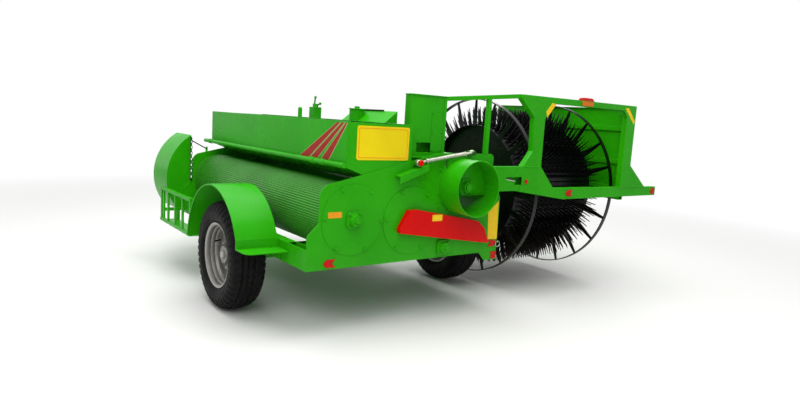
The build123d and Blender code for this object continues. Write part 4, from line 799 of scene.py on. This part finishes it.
def between_spikes():
    """Spikes between the solids' own rows: a flat pointed blade repeated along a strip on the shell,
    every other row half a pitch over, and each row turned about the drum's axis to the middle of a gap."""
    low, high = span("drum_spikes")
    axis, tip = (low + high) / 2, (high - low)[2] / 2
    shell = np.ptp(span("drum_body"), axis=0)[2] / 2
    half, pitch = (high - low)[1] / 2, (high - low)[1] / (SPIKES_IN_ROW + 0.5)
    blade = np.array([(-SPIKE_W / 2, shell), (SPIKE_W / 2, shell), (0, tip)])
    foot, top = shell - SPIKE_T, shell + STRIP_UP
    strip = np.array([(-half, foot), (half, foot), (half, top), (-half, top)])
    blade, strip = (plate(on_x(outline, -SPIKE_T / 2), AXES[0], SPIKE_T) for outline in (blade, strip))
    rows = []
    for i in range(SPIKE_ROWS):
        along = pitch * (np.arange(SPIKES_IN_ROW) + 0.5 + 0.5 * (i % 2)) - half
        row = joined([copies(blade, along[:, None] * AXES[1]), strip])
        turn = Matrix.Rotation(2 * np.pi * (i + 0.5) / SPIKE_ROWS, 3, "Y")
        rows.append(copies(turned(row, turn), [axis]))
    return joined(rows)


# Latch lever in the header beam's slot, from the axle, and the (Y, Z) outline of the filler under it
LEVER = ((-1.096, -0.872, 1.174), (-1.096, -0.987, 1.156))
LEVER_R = 0.005
GRIP_R = 0.006
GRIP_FROM = 0.7
LEVER_STEPS = 12
TONGUE = ((-0.871, 1.1244), (-0.985, 1.1244), (-0.985, 1.156), (-0.871, 1.174))
TONGUE_IN = 0.002
TONGUE_T = 0.004


def slot_lever():
    """Latch lever in the slot of the header's beam: a rod along a line, with a thicker grip."""
    start, end = AXLE + np.array(LEVER)
    s = np.linspace(0, 1, LEVER_STEPS)
    radius = np.where(s > GRIP_FROM, GRIP_R, LEVER_R)
    return tube(start + (end - start) * s[:, None], radius, PIN_SIDES)


def slot_tongue():
    """Filler that the lever lies on, in the slot's lower left corner: a flat outline of four points."""
    return plate(on_x(np.array(TONGUE) + FROM_AXLE, HEADER_FACE + TONGUE_IN), AXES[0], TONGUE_T)


# Pin by (Y, Z) from the axle, how far it goes in and stands out, and the ring's hang from it
CLIP_PIN = (-0.910, 0.604)
PIN_IN = (0.004, 0, 0)
PIN_OUT = (0.022, 0, 0)
PIN_R = 0.007
CLIP_R = 0.026
CLIP_WIRE = 0.0035
CLIP_STEPS = 32
CLIP_HANG = (-0.012, -0.009, 0.004 - CLIP_R)


def plate_clip():
    """Pin through the plate's right edge, and the ring that hangs on it, a wire round a circle."""
    pin = np.array([REAR_FACE, AXLE[1] + CLIP_PIN[0], CLIP_PIN[1]])
    ring = tube(pin + CLIP_HANG + CLIP_R * arc(full_turn(CLIP_STEPS), 0), CLIP_WIRE, WIRE_SIDES, loop=True)
    return joined([tube([pin + PIN_IN, pin - PIN_OUT], PIN_R, PIN_SIDES), ring])


# Cover and turned edge on the column: (Y, Z) corners from the axle, rounding and thickness
COLUMN_FACE = -0.900
PANEL = ((-0.276, 1.390), (-0.155, 1.709))
PANEL_ROUND = 0.006
PANEL_T = 0.003
SCREW_IN = 0.012
COLUMN_EDGE = ((-0.306, 1.360), (-0.278, 1.838))
COLUMN_EDGE_ROUND = 0.003
COLUMN_EDGE_T = 0.004


def column_panel():
    """Screwed cover and turned edge on the column's rear face: two flat outlines and two rows of screws."""
    face = AXLE[0] + COLUMN_FACE
    panel = np.array(PANEL) + FROM_AXLE
    cover = tablet(panel, face, PANEL_ROUND, PANEL_T)
    edge = tablet(np.array(COLUMN_EDGE) + FROM_AXLE, face, COLUMN_EDGE_ROUND, COLUMN_EDGE_T)
    signs = np.array([(u, v) for u in (-1, 1) for v in (-1, 0, 1)])
    screws = signs * (np.ptp(panel, axis=0) / 2 - SCREW_IN) + np.mean(panel, axis=0)
    return joined([cover, edge, hex_heads(PANEL_SCREW, on_x(screws, face - PANEL_T), 0, -1)])


# Rod on the conveyor head: its rear end from the axle, its length, and how far it stands in and up
RIDGE_REAR = -0.30
RIDGE_L = 0.35
RIDGE_STEPS = 6
RIDGE_IN = 0.006
RIDGE_UP = 0.005
RIDGE_R = 0.0065


def ridge_rod():
    """Black rod along the ridge of the conveyor head: a circle carried along a straight line."""
    low, high = span("conveyor_head")
    start = np.array([AXLE[0] + RIDGE_REAR, low[1] + RIDGE_IN, high[2] + RIDGE_UP])
    return tube(start + np.linspace(0, RIDGE_L, RIDGE_STEPS)[:, None] * AXES[0], RIDGE_R, ROD_SIDES)


# Middles of the rear bearings' flange faces, from the axle, and the bolts' half spacing
REAR_SEATS = ((-1.0216, 0.620, 0.875), (-1.0156, -0.275, 0.600), (-1.0896, -0.410, 1.115))
BEARING_HALF = 0.046
FLANGE_T = 0.0156


def bearing_bolts():
    """Four bolts on each flange bearing, in a square on its flange's face."""
    square = SQUARE * BEARING_HALF
    rear = [AXLE + np.array(seat) + on_x(square, 0) for seat in REAR_SEATS]
    heads = [hex_heads(BEARING_BOLT, np.concatenate(rear), 0, -1)]
    low, high = span("drum_bearings")
    axis = (low + high) / 2 * (1, 0, 1)
    for y, sign in ((high[1] - FLANGE_T, -1), (low[1] + FLANGE_T, 1)):
        heads.append(hex_heads(BEARING_BOLT, axis + on_y(square, y), 1, sign))
    return joined(heads)


# Gearbox: how far its collar stands out, its bolt circle and its plug; then the towing eye's flange
COLLAR_OUT = 0.035
GEARBOX_CIRCLE = 0.088
GEARBOX_BOLTS = 8
GEARBOX_FIRST = 22.5
PLUG_AT = 0.12
EYE_FLANGE = 0.020
EYE_HALF = 0.044


def drive_bolts():
    """Bolts of the gearbox's front cover on a circle, its filler plug, and four on the eye's flange."""
    box_low, box_high = span("gearbox")
    stub = middle("pto_stub")
    cover = stub * (0, 1, 1) + (box_high[0] - COLLAR_OUT, 0, 0)
    places = cover + GEARBOX_CIRCLE * arc(full_turn(GEARBOX_BOLTS, GEARBOX_FIRST), 0)
    heads = [hex_heads(GEARBOX_BOLT, places, 0, 1)]
    heads.append(hex_heads(FILLER_PLUG, [(box_low[0] + PLUG_AT, stub[1], box_high[2])], 2, 1))
    eye = middle("hitch_eye") * (0, 1, 1) + (span("hitch_eye")[0][0] + EYE_FLANGE, 0, 0)
    heads.append(hex_heads(TOWING_BOLT, eye + on_x(SQUARE * EYE_HALF, 0), 0, 1))
    return joined(heads)


# Drive input: shares of its length and of its radius, with the locking groove, and its splines
STUB_ROWS = ((0, 0), (0, 1), (0.30, 1), (0.31, 0.8), (0.39, 0.8), (0.40, 1), (0.94, 1), (1, 0.9), (1, 0))
STUB_STEPS = 96
SPLINES = 6
SPLINE_H = 0.004
SPLINE_STEEP = 3


def splined_shaft():
    """Drive input: six splines, r = root + height where cos(6 t) is positive, with a locking groove."""
    low, high = span("pto_stub")
    along, full = np.array(STUB_ROWS).T[:, :, None]
    turn = full_turn(STUB_STEPS)[None, :]
    step = np.clip(np.cos(SPLINES * turn) * SPLINE_STEEP, -0.5, 0.5) + 0.5
    r = full * ((high[2] - low[2]) / 2 - SPLINE_H + SPLINE_H * step)
    return skin(round_x(low[0] + (high - low)[0] * along, r, turn, (low + high) / 2), wrap_v=True)


# Bolts of the round covers, on a circle from a first angle in degrees, and of the plate's seam
COVER_CIRCLE = 0.250
COVER_BOLTS = 6
COVER_FIRST = 5
SEAM_Y = -0.192
SEAM_LOW = 0.95
SEAM_TOP = 1.25
SEAM_BOLTS = 4


def rear_bolts():
    """Bolts round the two covers, on circles, and down the plate's seam, on a line."""
    circle = COVER_CIRCLE * arc(full_turn(COVER_BOLTS, COVER_FIRST), 0)
    covers = [middle(node) * (0, 1, 1) + (COVER_FACE, 0, 0) for node in ("sieve_screen", "crusher_housing")]
    ends = [(REAR_FACE, AXLE[1] + SEAM_Y, z) for z in (SEAM_LOW, SEAM_TOP)]
    places = [cover + circle for cover in covers] + [np.linspace(*ends, SEAM_BOLTS)]
    return hex_heads(REAR_BOLT, np.concatenate(places), 0, -1)


# Lamp lens as (share of its outline, height), and the amber strip's size
LAMP_ROWS = ((0, 0), (1.0, 0), (1.0, 0.008), (0.9, 0.009), (0.86, 0.024), (0.66, 0.030), (0, 0.030))
LAMP_ROUND = 0.012
AMBER_L = 0.160
AMBER_H = 0.042
AMBER_ROUND = 0.006


def marker_lamp():
    """Lamp on the header's top beam: a rounded red lens on a foot, and an amber strip on the beam's face.
    Each is a rounded outline carried along Z or X."""
    low, high = span("beacon")
    at = (HEADER_MIDDLE, middle("beacon")[1], span("header_top_beam")[1][2])
    outline = rounded(2 * (high[0] - HEADER_MIDDLE), high[1] - low[1], LAMP_ROUND)
    rows = [np.insert(outline * share, 2, up, axis=1) + at for share, up in LAMP_ROWS]
    corners = ((high[1] - AMBER_L, low[2]), (high[1], low[2] + AMBER_H))
    return skin(np.stack(rows), wrap_v=True), tablet(corners, HEADER_FACE, AMBER_ROUND, HEADER_FACE - low[0])


# Films by (Y, Z) corners from the axle: down the plate, on the two gussets, on the guard, on a cover
PLATE_FILM = ((-0.905, 0.972), (-0.917, 0.625), (-0.804, 0.630), (-0.786, 0.868))
GUSSET_FILMS = (
    ((-1.318, 1.784), (-1.390, 1.864), (-1.448, 1.857), (-1.335, 1.731)),
    ((-2.530, 1.883), (-2.588, 1.889), (-2.716, 1.761), (-2.701, 1.728)),
)
GUARD_FILM = ((-0.2075, 0.836), (-0.1025, 0.888))
COVER_FILM = ((0.7235, 0.898), (0.8385, 0.942))
FILM_ROUND = 0.004


def plain_films():
    """Blank films, flat outlines with a film's thickness: yellow down the plate's right edge,
    on the gussets and on the guard, and orange on a cover."""
    rows = [(PLATE_FILM, REAR_FACE)] + [(corners, HEADER_FACE) for corners in GUSSET_FILMS]
    yellow = [plate(on_x(np.array(corners) + FROM_AXLE, x), BACK, FILM) for corners, x in rows]
    yellow.append(tablet(np.array(GUARD_FILM) + FROM_AXLE, span("belt_guard")[0][0], FILM_ROUND, FILM))
    return joined(yellow), tablet(np.array(COVER_FILM) + FROM_AXLE, COVER_FACE, FILM_ROUND, FILM)


# Sign: corner rounding, and how much smaller than the sheet its line's two edges are, with theirs
SIGN_ROUND = 0.018
LINE_OUTER = (0.030, 0.014)
LINE_INNER = (0.042, 0.010)


def sign_face():
    """Blank sign: a rounded yellow sheet, and a thin orange line round it, which is a flat ring
    between two rounded outlines."""
    low, high = span("sign_plate")
    size, at = (high - low)[1:], (low + high)[1:] / 2
    sheet = tablet((low[1:], high[1:]), high[0], SIGN_ROUND, (high - low)[0])
    outer, inner = (rounded(*(size - less), corner_r) + at for less, corner_r in (LINE_OUTER, LINE_INNER))
    rows = ((outer, 0), (outer, FILM), (inner, FILM), (inner, 0))
    line = np.stack([on_x(outline, low[0] - out) for outline, out in rows])
    return sheet, skin(line, wrap_u=True, wrap_v=True)


# Rolled wire edge of the feed tube
LIP_R = 0.005
LIP_IN = 0.003
LIP_STEPS = 120


def tube_lip():
    """Rolled wire edge round the mouth of the feed tube: a small circle turned about X."""
    low, high = span("discharge_tube")
    centre = (low + high) / 2 * (0, 1, 1) + (low[0] + LIP_R, 0, 0)
    profile = LIP_R * arc(full_turn(ROD_SIDES), 0)[:, 1:] + (0, (high[2] - low[2]) / 2 - LIP_IN)
    return lathe(profile, centre, 0, LIP_STEPS, closed=True)


# Welds: radius and its ripple; on the header by how far in from the posts' edges, and up
WELD_R = 0.006
WELD_RIPPLE = 0.14
WELD_PITCH = 0.009
WELD_STEP = 0.003
WELD_LEAST_STEPS = 8
POST_WELD_IN = (0.13, 0.08)
SIDE_WELD_IN = 0.02
SIDE_WELD_UP = (0.002, 0.004)
TUBE_RIPPLES = 160
TUBE_WELD_STEPS = 500
# Seam of the rear plate by (Y, Z) from the axle
PLATE_SEAM = ((-0.145, 1.262), (-0.196, 0.983))
SEAM_WELD_R = 0.003


def weld_bead(start, end, radius=WELD_R):
    """Weld: a round bead along a joint, radius (1 + ripple sin(2 pi way / pitch))."""
    start, end = np.asarray(start, float), np.asarray(end, float)
    length = np.linalg.norm(end - start)
    s = np.linspace(0, 1, max(int(length / WELD_STEP), WELD_LEAST_STEPS))
    ripple = radius * (1 + WELD_RIPPLE * np.sin(2 * np.pi * s * length / WELD_PITCH))
    return tube(start + (end - start) * s[:, None], ripple, WIRE_SIDES)


def header_welds():
    """Welds at the feet of the header's two posts, round the feed tube and down the rear plate's seam."""
    low, high = span("header_post")
    ends = ((low[1] + POST_WELD_IN[0], low[2]), (high[1] - POST_WELD_IN[1], low[2]))
    beads = [weld_bead(*on_x(ends, HEADER_FACE))]
    low, high = span("header_side_post")
    ends = ((low[1] + SIDE_WELD_IN, low[2] + SIDE_WELD_UP[0]), (high[1], low[2] + SIDE_WELD_UP[1]))
    beads.append(weld_bead(*on_x(ends, HEADER_FACE)))
    low, high = span("discharge_tube")
    turn = full_turn(TUBE_WELD_STEPS)
    line = (low + high) / 2 * (0, 1, 1) + (REAR_FACE, 0, 0) + (high[2] - low[2]) / 2 * arc(turn, 0)
    ripple = WELD_R * (1 + WELD_RIPPLE * np.sin(turn * TUBE_RIPPLES))
    beads.append(tube(line, ripple, WIRE_SIDES, loop=True))
    beads.append(weld_bead(*on_x(np.array(PLATE_SEAM) + FROM_AXLE, REAR_FACE), radius=SEAM_WELD_R))
    return joined(beads)


# Chain beside the hood: its wire, its ends by (Y from the hood's edge, Z), its eye bolts and the stay
CHAIN_WIRE = 0.007
CHAIN_PITCH = 0.028
CHAIN_LINK_W = 3.4
CHAIN_LINK_STEPS = 16
CHAIN_OUT = 0.016
CHAIN_TOP = (0.006, 1.300)
CHAIN_FOOT = (0.002, 0.862)
CHAIN_EYE_IN = 0.002
CHAIN_EYE_OUT = 0.010
CHAIN_EYE_R = 0.008
STAY_OUT = 0.004
STAY_DROP = 0.018
STAY_FOOT = (0.751, 1.189)
STAY_R = 0.006


def chain_links(top, foot):
    """Chain: stadium-shaped links, every other one turned a quarter, from top to foot.
    A link's line is (bend cos t, straight sign(sin t) + bend sin t)."""
    t = full_turn(CHAIN_LINK_STEPS)
    length, width = CHAIN_PITCH + 2 * CHAIN_WIRE, CHAIN_WIRE * CHAIN_LINK_W
    straight, bend = (length - width) / 2, (width - CHAIN_WIRE) / 2
    line = np.stack([bend * np.cos(t), straight * np.sign(np.sin(t)) + bend * np.sin(t)], axis=-1)
    flat, edge = (tube(put(line, 0), CHAIN_WIRE / 2, CHAIN_SIDES, loop=True) for put in (on_y, on_x))
    places = np.linspace(top, foot, int(np.linalg.norm(top - foot) / CHAIN_PITCH))
    return joined([copies(flat, places[::2]), copies(edge, places[1::2])])


def hood_chain():
    """Chain down the front plate beside the hood, between two eye bolts, and a stay rod on the plate."""
    face, edge = span("front_plate")[0][0], span("hood")[0][1]
    top, foot = on_x(np.array([CHAIN_TOP, CHAIN_FOOT]) + (edge, 0), face - CHAIN_OUT)
    reach = np.array([CHAIN_OUT + CHAIN_EYE_IN, -CHAIN_EYE_OUT])[:, None] * AXES[0]
    eyes = [tube(at + reach, CHAIN_EYE_R, ROD_SIDES) for at in (top, foot)]
    rod_foot = np.array([face - STAY_OUT, AXLE[1] + STAY_FOOT[0], STAY_FOOT[1]])
    rod = tube([top + (CHAIN_OUT - STAY_OUT, 0, -STAY_DROP), rod_foot], STAY_R, WIRE_SIDES)
    return joined([chain_links(top, foot), *eyes, rod])


for node, finish_slot in NODE_SLOT.items():
    holder = frame["nodes"][node]
    holder.data.materials.clear()
    holder.data.materials.append(SLOT_FINISH[finish_slot])
for node, edge_mm in EDGE_MM.items():
    softened(node, edge_mm)

for hand, side in (("left", 1), ("right", -1)):
    body, tyre_node, rim_node = "wheel_" + hand, "tyre_" + hand, "rim_" + hand
    casing = piece("tyre_tread_" + hand, tyre_casing(tyre_node), "tyre_rubber", body, TYRE_SMOOTH_TO)
    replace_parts(casing, tyre_node)
    rim = piece("wheel_rim_" + hand, wheel_rim(rim_node, side), "silver_paint", body, RIM_SMOOTH_TO)
    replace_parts(rim, rim_node)
    rim_dirt_and_shade(rim, rim_node, side)
    fittings, stem = wheel_fittings(rim_node, side)
    piece("wheel_nuts_" + hand, fittings, "silver_paint", body)
    piece("valve_stem_" + hand, stem, "tyre_rubber", body)

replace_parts(piece("screen_wires", wedge_wire(), "green_screen"), "sieve_screen")
piece("guard_beads", guard_beads(), "green_paint")
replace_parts(piece("screw_link", screw_link(), "zinc_steel"), "top_link")
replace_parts(piece("splined_shaft", splined_shaft(), "bright_steel"), "pto_stub")

red_films, pale_edges = tank_stripes()
piece("tank_stripes", red_films, "red_paint", finish=RED_VINYL)
piece("tank_stripe_edges", pale_edges, "green_paint", finish=PALE_VINYL)
yellow_films, orange_film = plain_films()
piece("yellow_films", yellow_films, "yellow_paint", finish=YELLOW_VINYL)
piece("orange_film", orange_film, "amber_lens", finish=ORANGE_VINYL)
sign_sheet, sign_line = sign_face()
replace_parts(piece("sign_sheet", sign_sheet, "yellow_paint"), "sign_plate")
piece("sign_line", sign_line, "amber_lens", finish=ORANGE_VINYL)

lamp_lens, lamp_strip = marker_lamp()
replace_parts(piece("lamp_strip", lamp_strip, "amber_lens"), "beacon")
piece("lamp_lens", lamp_lens, "red_lens")

piece("between_spikes", between_spikes(), "black_paint", "drum")
piece("link_knob", link_knob(), "red_paint")
piece("link_hardware", link_hardware(), "forged_steel")
piece("slot_lever", slot_lever(), "zinc_steel")
piece("slot_tongue", slot_tongue(), "green_paint")
piece("plate_clip", plate_clip(), "zinc_steel")
piece("column_panel", column_panel(), "green_paint")
piece("ridge_rod", ridge_rod(), "black_paint")
piece("bearing_bolts", bearing_bolts(), "green_paint")
piece("drive_bolts", drive_bolts(), "zinc_steel")
piece("rear_bolts", rear_bolts(), "green_paint")
piece("tube_lip", tube_lip(), "green_paint")
piece("header_welds", header_welds(), "green_paint")
piece("hood_chain", hood_chain(), "forged_steel")


# Floor, light and camera. The levels together show a colour about as it is written.
FLOOR_REACH = 40.0
FLOOR_COLOUR = "#D9D9D7"
FADE_FROM = 4.0
FADE_TO = 9.0
SKY_LEVEL = 0.44
# Soft boxes: place, target, side and watts
SOFT_BOXES = {
    "top": ((-1.0, 1.0, 9.0), (-0.6, 0.3, 0.9), 10.0, 1150.0),
    "key": ((-7.5, 6.5, 7.5), (-1.0, 0.3, 0.9), 6.0, 400.0),
    "fill": ((6.0, -6.0, 6.0), (0, -0.5, 1.0), 6.0, 220.0),
}
# Camera of the photo: where it stands and its three directions, from the solved view
CAMERA_AT = (-5.8925, 3.999, 1.640)
CAMERA_RIGHT = (-0.5958, -0.8009, 0.0603)
CAMERA_UP = (0.1417, -0.0309, 0.9894)
CAMERA_AHEAD = (0.7905, -0.5981, -0.1319)
CAMERA_LENS = 27.42
CAMERA_FAR = 200.0
SENSOR = 36.0


def pale_floor():
    """Painted studio floor: pale and matt under the machine, fading to plain white far out."""
    reach = (-FLOOR_REACH, FLOOR_REACH)
    points, faces = skin(np.stack(np.meshgrid(reach, reach, [0.0]), axis=-1)[:, :, 0])
    mesh = bpy.data.meshes.new("floor")
    mesh.from_pydata(points.tolist(), [], faces[0][:, ::-1].tolist())
    material, tree, shader, coords = begun("pale_studio_paint")
    feed(tree, shader, {"Base Color": linear(FLOOR_COLOUR), "Roughness": 0.9})
    far = add(tree, "VectorMath", "Value", {0: coords}, operation="LENGTH")
    fade = add(tree, "MapRange", "Result", {"Value": far, "From Min": FADE_FROM, "From Max": FADE_TO})
    direct = add(tree, "LightPath", "Is Camera Ray")
    seen = add(tree, "Math", 0, {0: fade, 1: direct}, operation="MULTIPLY")
    white = add(tree, "Emission", 0, {"Color": WHITE, "Strength": 1.0})
    blend = add(tree, "MixShader", 0, {0: seen, 1: shader.outputs[0], 2: white})
    feed(tree, tree.nodes["Material Output"], {"Surface": blend})
    mesh.materials.append(material)
    floor = bpy.data.objects.new("floor", mesh)
    bpy.context.scene.collection.objects.link(floor)


def studio_sky():
    """White surround: plain white to the camera and in reflections, softer as light."""
    world = bpy.data.worlds.new("studio")
    bpy.context.scene.world = world
    world.use_nodes = True
    tree = world.node_tree
    path = add(tree, "LightPath", 0).node.outputs
    direct = {0: path["Is Camera Ray"], 1: path["Is Glossy Ray"]}
    direct = add(tree, "Math", 0, direct, operation="MAXIMUM")
    shown = add(tree, "Math", 0, {0: direct, 1: path["Is Transmission Ray"]}, operation="MAXIMUM")
    level = add(tree, "MapRange", "Result", {"Value": shown, "To Min": SKY_LEVEL})
    feed(tree, tree.nodes["Background"], {"Color": WHITE, "Strength": level})


def soft_box(name, at, target, side, watts):
    """Square soft box that faces a target."""
    lamp = bpy.data.lights.new(name, "AREA")
    lamp.size = side
    lamp.energy = watts
    holder = bpy.data.objects.new(name, lamp)
    bpy.context.scene.collection.objects.link(holder)
    holder.location = at
    holder.rotation_euler = (Vector(target) - Vector(at)).to_track_quat("-Z", "Y").to_euler()


def photo_camera():
    """Camera at the photo's place, its three directions as the columns of its matrix."""
    lens_data = bpy.data.cameras.new("photo_camera")
    lens_data.lens = CAMERA_LENS
    lens_data.sensor_width = SENSOR
    lens_data.clip_end = CAMERA_FAR
    holder = bpy.data.objects.new("photo_camera", lens_data)
    bpy.context.scene.collection.objects.link(holder)
    columns = np.stack([CAMERA_RIGHT, CAMERA_UP, -np.array(CAMERA_AHEAD)], axis=-1)
    holder.matrix_world = Matrix.Translation(CAMERA_AT) @ Matrix(columns.tolist()).to_4x4()
    bpy.context.scene.camera = holder


pale_floor()
studio_sky()
for name, box in SOFT_BOXES.items():
    soft_box(name, *box)
photo_camera()
bpy.context.scene.view_settings.view_transform = "Standard"
